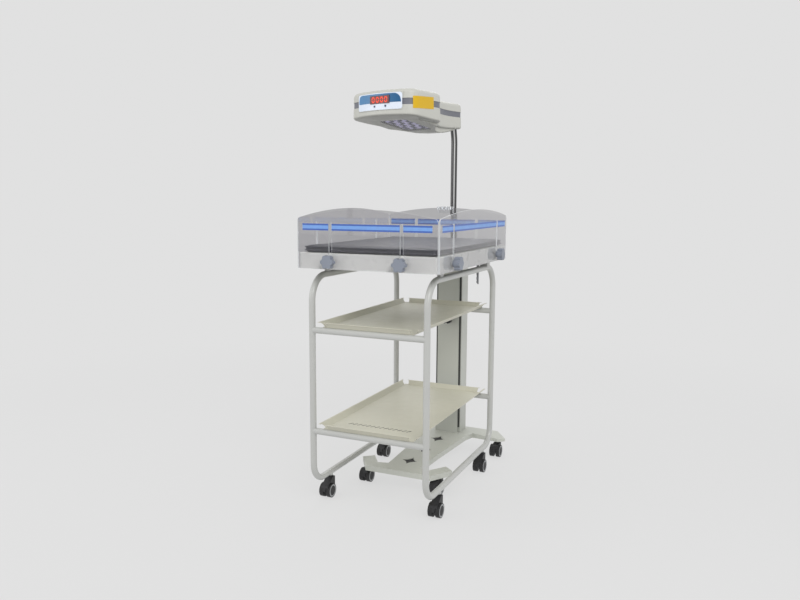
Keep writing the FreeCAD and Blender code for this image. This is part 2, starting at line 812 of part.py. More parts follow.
def column():
    h = column_top_z - stand_top_z
    outer = slab(column_points(0, stand_top_z), Z * h)
    inner = slab(column_points(column_wall, stand_top_z - 1), Z * (h + 2))
    body = outer.cut(inner)
    front = V(0, column_y - column_d / 2, column_knob_z)
    body = body.cut(rod(column_knob_stud_d + 2 * slip_gap, front - Y, Y, column_wall + 2))
    back = column_y + column_d / 2
    window = box(-module_w / 2 + 3, module_w / 2 - 3, back - column_wall - 1, back + 1,
                 module_z - module_h / 2 + 3, module_z + module_h / 2 - 3)
    return body.cut(window)


def column_seals():
    """Dark strips in the front corner rebates."""
    strips = []
    front = column_y - column_d / 2
    for side in (-1, 1):
        x1 = side * (column_w / 2 - seal_recess)
        x0 = side * (column_w / 2 - column_rebate)
        strips.append(box(min(x0, x1), max(x0, x1), front + seal_recess, front + column_rebate,
                          stand_top_z + 25, column_top_z))
    return strips


def column_cap():
    """Top plate with a collar that guides the mast."""
    hw = column_w / 2
    plate = rounded_block(-hw, hw, column_y - column_d / 2, column_y + column_d / 2,
                          column_top_z, column_top_z + cap_t, 5)
    collar = rod(cap_collar_d, V(0, column_y, column_top_z), Z, cap_t + cap_collar_h)
    cap = fused([plate, collar])
    return cap.cut(rod(mast_d + 2 * run_fit, V(0, column_y, column_top_z - 1), Z, cap_t + cap_collar_h + 2))


def mast_guide():
    """Block inside the column, bored for the mast and threaded for the clamp knob."""
    slack = 0.1
    body = slab(column_points(column_wall + slack, guide_z0), Z * guide_h)
    body = body.cut(rod(mast_d + 2 * run_fit, V(0, column_y, guide_z0 - 1), Z, guide_h + 2))
    front = V(0, column_y - column_d / 2, column_knob_z)
    return body.cut(rod(column_knob_stud_d + 2 * run_fit, front, Y, column_d / 2))


def mast():
    h = mast_joint_z - mast_bottom_z
    tube = rod(mast_d, V(0, column_y, mast_bottom_z), Z, h)
    return tube.cut(rod(mast_d - 2 * mast_wall, V(0, column_y, mast_bottom_z - 1), Z, h + 2))


def column_knob():
    """Lobed knob whose stud presses on the mast."""
    front = V(0, column_y - column_d / 2 - knob_gap, column_knob_z)
    hub = rod(knob_hub_d, front, -Y, column_knob_hub_h)
    head = lobed_disc(column_knob_d, column_knob_head_h, front - Y * column_knob_hub_h, -Y, Z, knob_lobes)
    reach = column_d / 2 + knob_gap - mast_d / 2 - seat_gap
    return fused([hub, head, rod(column_knob_stud_d, front, Y, reach)])


def mains_module():
    """Plate with a recessed mains inlet and a well for the rocker switch."""
    back = column_y + column_d / 2
    face = rounded_block(-module_w / 2, module_w / 2, back, back + module_face,
                         module_z - module_h / 2, module_z + module_h / 2, 0.5)
    half = module_w / 2 - 3 - seat_gap
    tall = module_h / 2 - 3 - seat_gap
    body = box(-half, half, back - module_depth, back, module_z - tall, module_z + tall)
    module = fused([face, body])
    iz = module_z + inlet_dz
    mouth = back + module_face
    module = module.cut(box(-inlet_w / 2, inlet_w / 2, mouth - inlet_depth, mouth + 1,
                            iz - inlet_h / 2, iz + inlet_h / 2))
    for px, pz in ((-7, -2), (0, 3), (7, -2)):
        module = fused([module, box(px - pin_w / 2, px + pin_w / 2, mouth - inlet_depth - 1,
                                    mouth - inlet_depth + pin_out, iz + pz - pin_h / 2, iz + pz + pin_h / 2)])
    rz = module_z + rocker_dz
    well = 0.4
    module = module.cut(box(-rocker_w / 2 - well, rocker_w / 2 + well, mouth - rocker_t - 4, mouth + 1,
                            rz - rocker_h / 2 - 1, rz + rocker_h / 2 + 1))
    pin = rod(rocker_pin_d + 2 * run_fit, V(-half, rocker_y(), rz), X, 2 * half)
    return module.cut(pin)


def rocker_y():
    return column_y + column_d / 2 + module_face - rocker_t / 2


def rocker():
    """Rocker cap with a shallow V face, resting on its lower side, and its pivot pin."""
    rz = module_z + rocker_dz
    y0 = rocker_y() - rocker_t / 2
    y1 = rocker_y() + rocker_t / 2
    dip = rocker_h / 2 * math.tan(math.radians(rocker_throw))
    half = rocker_h / 2
    x = -rocker_w / 2
    cap = slab([V(x, y0, rz - half), V(x, y1 + dip, rz - half), V(x, y1, rz),
                V(x, y1 + dip, rz + half), V(x, y0, rz + half)], X * rocker_w)
    cap.rotate(V(0, rocker_y(), rz), X, rocker_throw)
    pin_half = rocker_w / 2 + 3
    return fused([cap, rod(rocker_pin_d, V(-pin_half, rocker_y(), rz), X, 2 * pin_half)])


# Lamp head, in its own frame: forward along -Y from the mast, turned by head_yaw at the end

def head_point(l, w, z):
    return V(w, -l, z)


def to_stand(shape):
    placed = shape.copy()
    placed.rotate(V(0, 0, 0), Z, -head_yaw)
    placed.translate(V(0, column_y, 0))
    return placed


def apart(a, b, ra, rb):
    """Centre of a circle at distance ra from a and rb from b, on the side of +X."""
    line = b - a
    along = (ra ** 2 - rb ** 2 + line.Length ** 2) / (2 * line.Length)
    off = math.sqrt(ra ** 2 - along ** 2)
    unit = line / line.Length
    return a + unit * along + V(unit.y, -unit.x, 0) * off


def head_outline(inset, z):
    """Plan of the head, all tangent arcs: bowed front, corners, shoulders and a waisted neck."""
    front_c = head_point(head_front - head_front_r, 0, 0)
    corner_x = head_half_w - head_corner_r
    reach = head_front_r - head_corner_r
    corner_c = front_c + V(corner_x, -math.sqrt(reach ** 2 - corner_x ** 2), 0)
    shoulder_c = head_point(head_side_reach, head_half_w - head_shoulder_r, 0)
    end_c = head_point(neck_end_reach, 0, 0)
    waist_c = apart(shoulder_c, end_c, head_shoulder_r + head_waist_r, neck_end_r + head_waist_r)

    def toward(centre, other, r):
        return centre + (other - centre).normalize() * r

    def bow(start, end, centre, r):
        middle = toward(centre, (start + end) / 2, r)
        return Part.Arc(start, middle, end).toShape()

    w = head_half_w - inset
    front = toward(front_c, corner_c, head_front_r - inset)
    corner = V(w, corner_c.y, 0)
    shoulder = V(w, shoulder_c.y, 0)
    waist = toward(shoulder_c, waist_c, head_shoulder_r - inset)
    neck = toward(end_c, waist_c, neck_end_r - inset)

    def other(p):
        return V(-p.x, p.y, 0)
    edges = [bow(other(front), front, front_c, head_front_r - inset),
             bow(front, corner, corner_c, head_corner_r - inset),
             Part.LineSegment(corner, shoulder).toShape(),
             bow(shoulder, waist, shoulder_c, head_shoulder_r - inset),
             bow(waist, neck, waist_c, head_waist_r + inset),
             Part.Arc(neck, end_c + Y * (neck_end_r - inset), other(neck)).toShape(),
             bow(other(neck), other(waist), other(waist_c), head_waist_r + inset),
             bow(other(waist), other(shoulder), other(shoulder_c), head_shoulder_r - inset),
             Part.LineSegment(other(shoulder), other(corner)).toShape(),
             bow(other(corner), other(front), other(corner_c), head_corner_r - inset)]
    wire = Part.Wire(edges)
    wire.translate(Z * z)
    return wire


def head_solid(inset0, z0, inset1, z1):
    return Part.makeLoft([head_outline(inset0, z0), head_outline(inset1, z1)], True, True)


def below(edges, front, back):
    """Everything under a profile that runs from front to back at one side of the head."""
    low = Z * (head_top_z - head_mid_z)
    wire = Part.Wire(edges + [Part.LineSegment(back, back - low).toShape(),
                              Part.LineSegment(back - low, front - low).toShape(),
                              Part.LineSegment(front - low, front).toShape()])
    return Part.Face(wire).extrude(X * 4 * head_half_w)


def underside_cutter(raise_by):
    """Everything below the shallow arc of the casing's underside, raised by a wall thickness."""
    w = -2 * head_half_w
    front = head_point(head_front + 30, w, head_rim_z + 3 + raise_by)
    middle = head_point(head_mid_reach, w, head_mid_z + raise_by)
    tail = head_point(-2 * neck_end_r, w, head_tail_z + 2 + raise_by)
    return below([Part.Arc(front, middle, tail).toShape()], front, tail)


def pan_slope():
    return (pan_front_z - pan_ridge_z) / (pan_front_reach - pan_ridge_reach)


def pan_solid(inset, raise_by):
    """Pan below the casing: straight slope that carries the lens, then a bowed rise to the neck."""
    half = pan_half_w - inset
    pan = rounded_block(-half, half, inset - pan_front_reach, -pan_back_reach - inset,
                        pan_ridge_z - pan_sag - 1, head_rim_z, pan_corner_r - inset)
    w = -2 * head_half_w
    front = head_point(pan_front_reach, w, pan_front_z + raise_by)
    ridge = head_point(pan_ridge_reach, w, pan_ridge_z + raise_by)
    back = head_point(pan_back_reach, w, pan_back_z + raise_by)
    middle = (ridge + back) / 2 - Z * pan_sag
    return pan.cut(below([Part.LineSegment(front, ridge).toShape(), Part.Arc(ridge, middle, back).toShape()],
                         front, back))


def neck_path():
    """Centre of the tube under the neck: up, leaning forward, then straight into the head."""
    lean = math.radians(neck_bend)
    z0 = mast_joint_z + neck_straight
    start = head_point(0, 0, z0)
    centre = head_point(neck_bend_r, 0, z0)
    top = head_point(neck_bend_r * (1 - math.cos(lean)), 0, z0 + neck_bend_r * math.sin(lean))
    way = V(0, -math.sin(lean), math.cos(lean))
    return start, centre, top, way


def neck_tube_solid(extra):
    d = mast_d + 2 * extra
    start, centre, top, way = neck_path()
    low = rod(d, head_point(0, 0, mast_joint_z), Z, neck_straight)
    section = Part.Face(Part.Wire(Part.makeCircle(d / 2, start, Z)))
    bend = section.revolve(centre, X, neck_bend)
    tip = rod(d, top, way, neck_insert)
    return fused([low, bend, tip])


def head_tube():
    """Bent tube under the head, its spigot turning in the top of the mast."""
    spigot_d = mast_d - 2 * mast_wall - 2 * run_fit
    spigot = rod(spigot_d, head_point(0, 0, mast_joint_z - spigot_len), Z, spigot_len)
    return fused([spigot, neck_tube_solid(0)])


def in_window(shape):
    """Set a piece made about the origin on the pan's slope, its Z square to the slope."""
    placed = shape.copy()
    placed.rotate(V(0, 0, 0), X, -math.degrees(math.atan(pan_slope())))
    z = pan_ridge_z + pan_slope() * (window_reach - pan_ridge_reach)
    placed.translate(head_point(window_reach, 0, z))
    return placed


def lens_solid(grow, depth, sink):
    hl = window_len / 2 + grow
    hw = window_w / 2 + grow
    return in_window(rounded_block(-hw, hw, -hl, hl, -sink, depth, window_corner_r))


def ring_sector(r0, r1, a0, a1, z0, z1):
    """Upright curved plate about the front arc's centre, from angle a0 to a1 off straight ahead."""
    centre = head_point(head_front - head_front_r, 0, 0)

    def at(r, a, z):
        return centre + V(r * math.sin(math.radians(a)), -r * math.cos(math.radians(a)), z)
    mid = (a0 + a1) / 2
    wire = Part.Wire([Part.Arc(at(r0, a0, z0), at(r0, mid, z0), at(r0, a1, z0)).toShape(),
                      Part.LineSegment(at(r0, a1, z0), at(r1, a1, z0)).toShape(),
                      Part.Arc(at(r1, a1, z0), at(r1, mid, z0), at(r1, a0, z0)).toShape(),
                      Part.LineSegment(at(r1, a0, z0), at(r0, a0, z0)).toShape()])
    return Part.Face(wire).extrude(Z * (z1 - z0))


def control_bay():
    """Opening through both casings behind the control panel."""
    reach = math.degrees(bay_side / head_front_r)
    return ring_sector(head_front_r - bay_depth, head_front_r + 5, panel_angle - panel_half_angle + reach,
                       panel_angle + panel_half_angle - reach, panel_z0 + bay_edge,
                       panel_z0 + panel_h - bay_edge)


def panel_land(z0, z1):
    """Raised land on the casing's front, on which the control panel sits."""
    half = panel_half_angle + land_margin
    return ring_sector(head_front_r - head_wall - 2 * head_draft, head_front_r, panel_angle - half,
                       panel_angle + half, z0, z1)


def head_lower_shell():
    """Lower casing: walls, bowed floor, pan with the light opening, board posts, neck socket."""
    z_low = head_mid_z - 5
    outer = head_solid(0, z_low, head_draft, band_z0)
    outer = outer.cut(underside_cutter(0))
    rim = [e for e in outer.Edges if e.BoundBox.ZMax < head_rim_z + 3 and e.Length > 4]
    outer = outer.makeFillet(head_bottom_fillet, rim)
    inner = head_solid(head_wall, z_low - 1, head_wall + head_draft, band_z0 + 1)
    inner = inner.cut(underside_cutter(head_wall))
    shell = fused([outer, pan_solid(0, 0)]).cut(inner).cut(pan_solid(head_wall, head_wall))
    posts = []
    for y in (board_post_inset - board_len / 2, board_len / 2 - board_post_inset):
        for x in (board_post_inset - board_w / 2, board_w / 2 - board_post_inset):
            posts.append(in_window(rod(board_post_d, V(x, y, head_wall / 2), Z, board_lift - head_wall / 2)))
    start, centre, top, way = neck_path()
    socket = rod(mast_d + 2 * head_wall + 4, top - way * 20, way, neck_insert + 10)
    socket = socket.cut(underside_cutter(head_wall / 2))
    socket = socket.common(head_solid(head_wall / 2, z_low, head_wall / 2 + head_draft, band_z0))
    land = panel_land(panel_z0 - land_edge, band_z0)
    shell = fused([shell, socket, land] + posts)
    shell = shell.cut(neck_tube_solid(run_fit))
    shell = shell.cut(lens_solid(seat_gap, board_lift - led_h, board_lift))
    return shell.cut(control_bay())


def head_upper_shell():
    """Upper casing with a rounded top edge."""
    z0 = band_z0 + band_h
    outer = head_solid(head_draft, z0, 2 * head_draft, head_top_z)
    outer = outer.makeFillet(head_top_fillet, edges_at(outer, head_top_z))
    inner = head_solid(head_draft + head_wall, z0 - 1, 2 * head_draft + head_wall, head_top_z - head_wall)
    inner = inner.makeFillet(head_top_fillet - head_wall, edges_at(inner, head_top_z - head_wall))
    shell = fused([outer.cut(inner), panel_land(z0, panel_z0 + panel_h + land_edge)])
    return shell.cut(control_bay())


def head_band():
    """Recessed band between the casings."""
    inset = head_draft + band_inset
    outer = Part.Face(head_outline(inset, band_z0)).extrude(Z * band_h)
    inner = Part.Face(head_outline(inset + band_t, band_z0)).extrude(Z * band_h)
    return outer.cut(inner).cut(control_bay())


def led_board():
    hl = board_len / 2
    hw = board_w / 2
    board = box(-hw, hw, -hl, hl, board_lift, board_lift + board_t)
    lamps = []
    half = led_size / 2
    for i in range(led_rows):
        for j in range(led_cols):
            cy = (i - (led_rows - 1) / 2) * led_pitch
            cx = (j - (led_cols - 1) / 2) * led_pitch
            lamps.append(box(cx - half, cx + half, cy - half, cy + half, board_lift - led_h, board_lift))
    return in_window(fused([board] + lamps))


def heat_sink():
    z = board_lift + board_t
    hl = sink_len / 2
    hw = sink_w / 2
    plate = box(-hw, hw, -hl, hl, z, z + sink_base)
    fins = []
    pitch = (sink_w - sink_fin_t) / (sink_fins - 1)
    root = z + sink_base
    for i in range(sink_fins):
        x = -hw + i * pitch
        fins.append(box(x, x + sink_fin_t, -hl, hl, root, root + sink_fin_h))
    return in_window(fused([plate] + fins))


def radial(shape, angle):
    """Turn a piece made straight ahead of the front arc's centre to its place on the panel."""
    placed = shape.copy()
    placed.rotate(head_point(head_front - head_front_r, 0, 0), Z, angle)
    return placed


def display_block(grow, depth):
    out = head_front + panel_t + display_proud
    hw = display_w / 2 + grow
    hh = display_h / 2 + grow
    block = box(-hw, hw, -out, -out + depth, display_z - hh, display_z + hh)
    return radial(block, display_angle)


def button_solid(angle, grow, length, out):
    start = head_point(head_front + panel_t + out, 0, button_z)
    return radial(rod(button_d + 2 * grow, start, Y, length), angle)


def control_panel():
    """Curved plate over the front of both casings, with cut-outs for the display and buttons."""
    plate = ring_sector(head_front_r, head_front_r + panel_t, panel_angle - panel_half_angle,
                        panel_angle + panel_half_angle, panel_z0, panel_z0 + panel_h)
    for sx in (-1, 1):
        for z in (panel_z0, panel_z0 + panel_h):
            corner = [e for e in plate.Edges if e.Length < 2 * panel_t and abs(e.CenterOfMass.z - z) < 0.1
                      and e.CenterOfMass.x * sx > 0]
            plate = plate.makeFillet(panel_corner_r, corner)
    plate = plate.cut(display_block(seat_gap / 2, display_depth + 10))
    for angle in button_angles:
        plate = plate.cut(button_solid(angle, run_fit, 20, 3))
    return plate


def build():
    save("frame_left", side_frame(-1))
    save("frame_right", side_frame(1))
    save("crossbars", crossbars())
    save("shelf_upper", shelf(crossbar_zs[0], False))
    save("shelf_lower", shelf(crossbar_zs[1], True))
    save("bed_brackets", bed_brackets())
    save("bassinet_base", bassinet_base())
    save("bed_rails", bed_rails())
    save("tilt_stay", tilt_stay())
    save("mattress", mattress())
    save("wall_front", end_wall(-1))
    save("wall_rear", end_wall(1))
    save("wall_left", long_wall(-1))
    save("wall_right", long_wall(1))
    save("clamp_studs", clamp_studs())
    names = ("front_left", "front_right", "left_front", "left_rear", "rear_left", "rear_right", "right_front",
             "right_rear")
    for name, (origin, out) in zip(names, clamp_points()):
        save("knob_" + name, clamp_knob(origin, out))
    save("tube_clip", tube_clip())
    for name, x, y in trolley_stems():
        shoulder_z = trolley_castor_z - castor_shoulder_drop
        save("castor_" + name, castor_housing(x, y, trolley_castor_z, shoulder_z))
        save("wheels_" + name, castor_wheels(x, y))
    for name, x, y in stand_stems():
        save("castor_" + name, castor_housing(x, y, stand_castor_z, stand_skirt_z - slip_gap), stand_x)
        save("wheels_" + name, castor_wheels(x, y), stand_x)
    save("stand_base", stand_base(), stand_x)
    save("column", column(), stand_x)
    save("column_seals", column_seals(), stand_x)
    save("column_cap", column_cap(), stand_x)
    save("mast_guide", mast_guide(), stand_x)
    save("mast", mast(), stand_x)
    save("column_knob", column_knob(), stand_x)
    save("mains_module", mains_module(), stand_x)
    save("mains_switch", rocker(), stand_x)
    save("head_tube", to_stand(head_tube()), stand_x)
    save("head_lower_shell", to_stand(head_lower_shell()), stand_x)
    save("head_upper_shell", to_stand(head_upper_shell()), stand_x)
    save("head_band", to_stand(head_band()), stand_x)
    save("head_lens", to_stand(lens_solid(0, window_t, 0)), stand_x)
    save("led_board", to_stand(led_board()), stand_x)
    save("heat_sink", to_stand(heat_sink()), stand_x)
    save("control_panel", to_stand(control_panel()), stand_x)
    save("display", to_stand(display_block(0, display_depth)), stand_x)
    for name, angle in zip(("button_left", "button_right"), button_angles):
        save(name, to_stand(button_solid(angle, 0, button_len, button_out)), stand_x)


os.makedirs("parts", exist_ok=True)
build()
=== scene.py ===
"""Looks of an infant phototherapy unit: a clear-walled bassinet on a castored trolley, with an LED
lamp head on a stand that rolls in under it.

Metres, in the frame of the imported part: +X to the right, +Y from the foot end towards the lamp
column, +Z up, the floor at z = 0.
"""
import math

import bpy
import bmesh
from mathutils import Matrix, Vector
from mathutils.bvhtree import BVHTree


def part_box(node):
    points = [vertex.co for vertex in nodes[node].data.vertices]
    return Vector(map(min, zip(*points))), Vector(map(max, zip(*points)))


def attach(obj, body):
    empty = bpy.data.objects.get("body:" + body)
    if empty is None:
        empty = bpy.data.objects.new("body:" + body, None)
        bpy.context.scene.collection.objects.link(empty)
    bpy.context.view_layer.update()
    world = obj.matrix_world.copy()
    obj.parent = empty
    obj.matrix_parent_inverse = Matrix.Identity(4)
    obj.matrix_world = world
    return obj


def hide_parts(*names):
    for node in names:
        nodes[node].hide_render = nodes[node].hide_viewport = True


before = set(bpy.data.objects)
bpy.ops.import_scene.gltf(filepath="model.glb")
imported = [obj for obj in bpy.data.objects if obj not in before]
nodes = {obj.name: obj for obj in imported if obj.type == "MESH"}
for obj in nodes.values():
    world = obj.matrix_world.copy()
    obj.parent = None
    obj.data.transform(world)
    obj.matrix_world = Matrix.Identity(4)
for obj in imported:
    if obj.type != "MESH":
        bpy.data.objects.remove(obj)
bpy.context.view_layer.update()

MM = 0.001

# Camera, fitted to the perspective of the photograph
camera_place = (1.0856, -2.57045, 1.0683)
camera_yaw = 24.22
camera_pitch = 7.72
camera_roll = 0.30
camera_lens = 33.62
sensor_width = 36.0

# Studio: grey levels, and where the floor fades into the backdrop
backdrop_level = 0.752
behind_clear_level = 0.47
world_level = 0.78
floor_level = 0.70
floor_radius = 9.0
floor_fade_from = 1.6
floor_fade_to = 3.2
floor_near_share = 0.8
# Area lights: name, place, target, width and height, power
area_lights = (
    ("key", (2.2, -2.6, 3.2), (0, 0, 0.8), (1.8, 1.8), 60),
    ("fill", (-2.8, -2.0, 2.0), (0, 0, 0.8), (1.6, 2.2), 22),
    ("back", (-0.6, 3.0, 3.0), (0, 0, 1.0), (2.0, 1.2), 16),
)

# Finishes
noise_middle = (0.3, 0.7)
noise_detail = 3.0
mottle_scale = 5.0
smear_scale = 35.0
gloss_spread = 0.15
grain_detail = 2.0
grain_depth = 0.2 * MM
coat_roughness = 0.15
# Painted shade on faces that look down: the normal's height from full shade to none
down_shade_span = (-0.75, -0.15)
acrylic_tint = (0.90, 0.895, 0.91)
acrylic_index = 1.49
acrylic_roughness = 0.03
acrylic_smear_scale = 9.0
acrylic_smear = 0.5
# Cut edges of the clear pieces: a pale painted highlight
edge_highlight_tint = (0.86, 0.88, 0.90)
cut_edge_roughness = 0.35
cut_edge_facing = (0.4, 0.9)
clip_tint = (0.96, 0.965, 0.97)
lens_tint = (0.97, 0.97, 0.98)
lens_index = 1.08
ink_roughness = 0.3
ink_patch_scale = 60.0
ink_patchiness = 0.05
# Chrome: a painted reflection in pale and dark bands, set by the way each face turns
reflection_pale = (0.70, 0.70, 0.69)
reflection_dark = (0.09, 0.09, 0.09)
chrome_roughness = 0.2
reflection_rims = (0.4, 0.5)
reflection_dark_at = (0.10, 0.38, 0.66, 0.92)
reflection_pale_at = (0.47, 0.57)
film_roughness = 0.32
cell_roughness = 0.7
cell_gloss = 0.05
lit_red = (0.72, 0.045, 0.012)
lit_strength = 0.55
lit_roughness = 0.4
lit_patch_scale = 80.0
lit_patchiness = 0.1

# Clear walls
stripe_low_z = 0.964
stripe_high_z = 0.986
stripe_line = 5.5 * MM
stripe_lift = 0.2 * MM
stripe_end_inset = {"wall_front": 18.0 * MM, "wall_right": 20.0 * MM, "wall_rear": 7.0 * MM}
wall_slot_gap = 12.0 * MM
slot_from_middle = {"wall_front": 128.0 * MM, "wall_rear": 128.0 * MM, "wall_right": 235.0 * MM}

# Mattress
pad_inset = 4.0 * MM
pad_top_inset = 4.5 * MM
pad_corner_r = 12.0 * MM
pad_corner_segments = 6
pad_edge_r = 7.0 * MM
pad_edge_segments = 4
pad_voxel = 6.0 * MM
puff_pressure = 4.0
puff_quality = 5
puff_stiffness = 12
puff_bending = 0.6
puff_steps = 20
puff_cap = 3.6 * MM
puff_rest_margin = 1.0 * MM
welt_r = 2.0 * MM
welt_back = 3.5 * MM
welt_from_face = 7.5 * MM
welt_sides = 10
welt_corner_steps = 8

# Lamp head: the panel's film, the side plate, the display's figures and the lamp cells
head_yaw = math.radians(14.2)
panel_angle = 1.8
panel_half_angle = 17.4
panel_centre_forward = 0.175
panel_radius = 0.3312
film_lift = 0.15 * MM
film_columns = 60
blue_foot = 24.0 * MM
blue_edge = 2.5 * MM
blue_margin = 0.7
blue_corners = (17.0 * MM, 28.0 * MM)
plate_z = (1.3855, 1.4280)
plate_rise = 6.0 * MM
plate_angles = (53.0, 93.0)
plate_centre = (0.36, 0.0)
plate_thickness = 0.6 * MM
plate_columns = 28
plate_search_reach = 0.6
display_angle = 3.4
display_radius = 0.33195
digit_count = 4
digit_h = 20.0 * MM
digit_w = 14.0 * MM
digit_pitch = 18.5 * MM
segment_w = 4.2 * MM
lamp_cell = 20.0 * MM
lamp_cell_length = 40.0 * MM
window_forward = 325.0 * MM

# Lamp head's casing in plan, forward and sideways from the mast's axis: the shoulder's and the
# neck end's arcs, joined by the waist's hollow arc
shoulder_centre = (0.330, 0.090)
shoulder_r = 0.060
waist_r = 0.300
neck_end_centre = (0.005, 0.0)
neck_end_r = 0.030
short_arc_steps = 12
waist_arc_steps = 40

# Undersides of the casing and its pan, as forward places and heights, and the pan's trim
casing_underside = ((0.535, 1.367), (0.190, 1.347), (-0.060, 1.358))
casing_edge_r = 9.0 * MM
casing_edge_steps = 6
casing_draft = 0.6 * MM
skin_lift = 0.15 * MM
pan_underside = ((0.200, 1.3270), (0.116, 1.3305), (0.032, 1.3460))
pan_slope = 34.0 / 255.0
pan_half_w = 116.0 * MM
pan_back = 26.0 * MM
pan_wall = 3.0 * MM
pan_top = 1.3646
pan_trim_inset = 10.0 * MM
pan_trim_reach = 0.16
pan_trim_gap = 0.4 * MM
pan_trim_low = 1.30
pan_trim_high = 1.40

# Slots of the lower shelf, whose walls take a painted shade
vent_z = 0.285
vent_reach = 0.9 * MM
vent_half_row = 0.135
vent_row_y = -0.3256
vent_reach_y = 0.02

# Lamp stand's star openings, and the discs of painted shade under them
star_first_y = 27.0 * MM
star_pitch = 146.0 * MM
star_count = 3
star_shade_radius = 47.0 * MM
star_shade_drop = 3.2 * MM
star_shade_steps = 32

# Castor rims
rim_outer = 22.5 * MM
rim_inner = 17.6 * MM
rim_lift = 0.2 * MM
rim_steps = 40


def linear(r, g, b):
    """Linear colour of a displayed one given in 0 to 255."""
    out = []
    for value in (r, g, b):
        c = value / 255
        out.append(c / 12.92 if c <= 0.04045 else ((c + 0.055) / 1.055) ** 2.4)
    return tuple(out)


def grey(level):
    return level, level, level, 1


# Materials

def add(tree, kind, values=None, **settings):
    """A new node with its settings, then its inputs' values."""
    node = tree.nodes.new("ShaderNode" + kind)
    for name, value in settings.items():
        setattr(node, name, value)
    for name, value in (values or {}).items():
        node.inputs[name].default_value = value
    return node


def new_material(name):
    mat = bpy.data.materials.new(name)
    mat.use_nodes = True
    mat.node_tree.nodes.clear()
    return mat, mat.node_tree


def show(tree, shader):
    """Make a shader the material's surface."""
    out = add(tree, "OutputMaterial")
    tree.links.new(shader.outputs[0], out.inputs["Surface"])


def mix(tree, share, first, second):
    """Two shaders blended by a socket's share of the second."""
    mixed = add(tree, "MixShader")
    for socket, source in zip(mixed.inputs, (share, first.outputs[0], second.outputs[0])):
        tree.links.new(source, socket)
    return mixed


def noise(tree, coords, scale, detail=noise_detail):
    texture = add(tree, "TexNoise", {"Scale": scale, "Detail": detail})
    tree.links.new(coords.outputs["Object"], texture.inputs["Vector"])
    return texture


def remap(tree, source, span, low, high):
    """A value's span stretched to run from low to high."""
    stretch = add(tree, "MapRange", {"From Min": span[0], "From Max": span[1],
                                     "To Min": low, "To Max": high})
    tree.links.new(source, stretch.inputs["Value"])
    return stretch.outputs[0]


def patchy(tree, texture, low, high):
    """A texture's middle range stretched to run from low to high."""
    return remap(tree, texture.outputs[0], noise_middle, low, high)


def facing(tree, normal):
    """The three parts of a surface's normal."""
    geometry = add(tree, "NewGeometry")
    parts = add(tree, "SeparateXYZ")
    tree.links.new(geometry.outputs[normal], parts.inputs[0])
    return parts.outputs


def surface(name, colour, roughness, metallic=0.0, mottle=0.04, grain=0.15, grain_scale=500.0,
            coat=0.0, under=None):
    """Opaque finish: faint colour and gloss variation, and a fine surface grain. Faces that look
    down can take a painted shade: a share of the colour."""
    mat, tree = new_material(name)
    link = tree.links.new
    shader = add(tree, "BsdfPrincipled", {
        "Base Color": (*colour, 1), "Roughness": roughness, "Metallic": metallic,
        "Coat Weight": coat, "Coat Roughness": coat_roughness})
    coords = add(tree, "TexCoord")
    paint = add(tree, "VectorMath", {0: colour}, operation="SCALE")
    link(patchy(tree, noise(tree, coords, mottle_scale), 1 - mottle, 1 + mottle),
         paint.inputs["Scale"])
    # Painted shade on faces that look down
    if under is not None:
        shaded = add(tree, "VectorMath", operation="SCALE")
        link(paint.outputs[0], shaded.inputs[0])
        link(remap(tree, facing(tree, "Normal")[2], down_shade_span, under, 1.0),
             shaded.inputs["Scale"])
        paint = shaded
    link(paint.outputs[0], shader.inputs["Base Color"])
    link(patchy(tree, noise(tree, coords, smear_scale), roughness * (1 - gloss_spread),
                min(1, roughness * (1 + gloss_spread))), shader.inputs["Roughness"])
    bump = add(tree, "Bump", {"Strength": grain, "Distance": grain_depth})
    link(noise(tree, coords, grain_scale, grain_detail).outputs[0], bump.inputs["Height"])
    link(bump.outputs[0], shader.inputs["Normal"])
    show(tree, shader)
    return mat


def clear(name, tint, roughness, edge_axis=None, edge_highlight_share=0.6, index=acrylic_index):
    """Clear acrylic that lets light through to what is behind it, its cut edges painted paler
    as a highlight.
    """
    mat, tree = new_material(name)
    link = tree.links.new
    body = add(tree, "BsdfPrincipled", {"Base Color": (*tint, 1), "Roughness": roughness,
                                        "IOR": index, "Transmission Weight": 1.0})
    smear = noise(tree, add(tree, "TexCoord"), acrylic_smear_scale)
    link(patchy(tree, smear, roughness * (1 - acrylic_smear), roughness * (1 + acrylic_smear)),
         body.inputs["Roughness"])
    if edge_axis is not None:
        edge = add(tree, "BsdfPrincipled", {"Base Color": (*edge_highlight_tint, 1),
                                            "Roughness": cut_edge_roughness})
        size = add(tree, "Math", operation="ABSOLUTE")
        link(facing(tree, "True Normal")[edge_axis], size.inputs[0])
        share = remap(tree, size.outputs[0], cut_edge_facing, edge_highlight_share, 0.0)
        body = mix(tree, share, body, edge)
    see_through = add(tree, "BsdfTransparent", {"Color": (*(0.5 + 0.5 * c for c in tint), 1)})
    shadow = add(tree, "LightPath").outputs["Is Shadow Ray"]
    show(tree, mix(tree, shadow, body, see_through))
    return mat


def printed(name, colour, cover):
    """Ink on clear acrylic: mostly opaque, with some of what is behind showing."""
    mat, tree = new_material(name)
    ink = add(tree, "BsdfPrincipled", {"Base Color": (*colour, 1), "Roughness": ink_roughness})
    gap = add(tree, "BsdfTransparent")
    share = patchy(tree, noise(tree, add(tree, "TexCoord"), ink_patch_scale),
                   cover - ink_patchiness, cover + ink_patchiness)
    show(tree, mix(tree, share, gap, ink))
    return mat


def glowing(name, colour, strength):
    """Lit figures, a little uneven in brightness."""
    mat, tree = new_material(name)
    shader = add(tree, "BsdfPrincipled", {"Base Color": (*colour, 1), "Roughness": lit_roughness,
                                          "Emission Color": (*colour, 1)})
    level = patchy(tree, noise(tree, add(tree, "TexCoord"), lit_patch_scale),
                   strength * (1 - lit_patchiness), strength * (1 + lit_patchiness))
    tree.links.new(level, shader.inputs["Emission Strength"])
    show(tree, shader)
    return mat


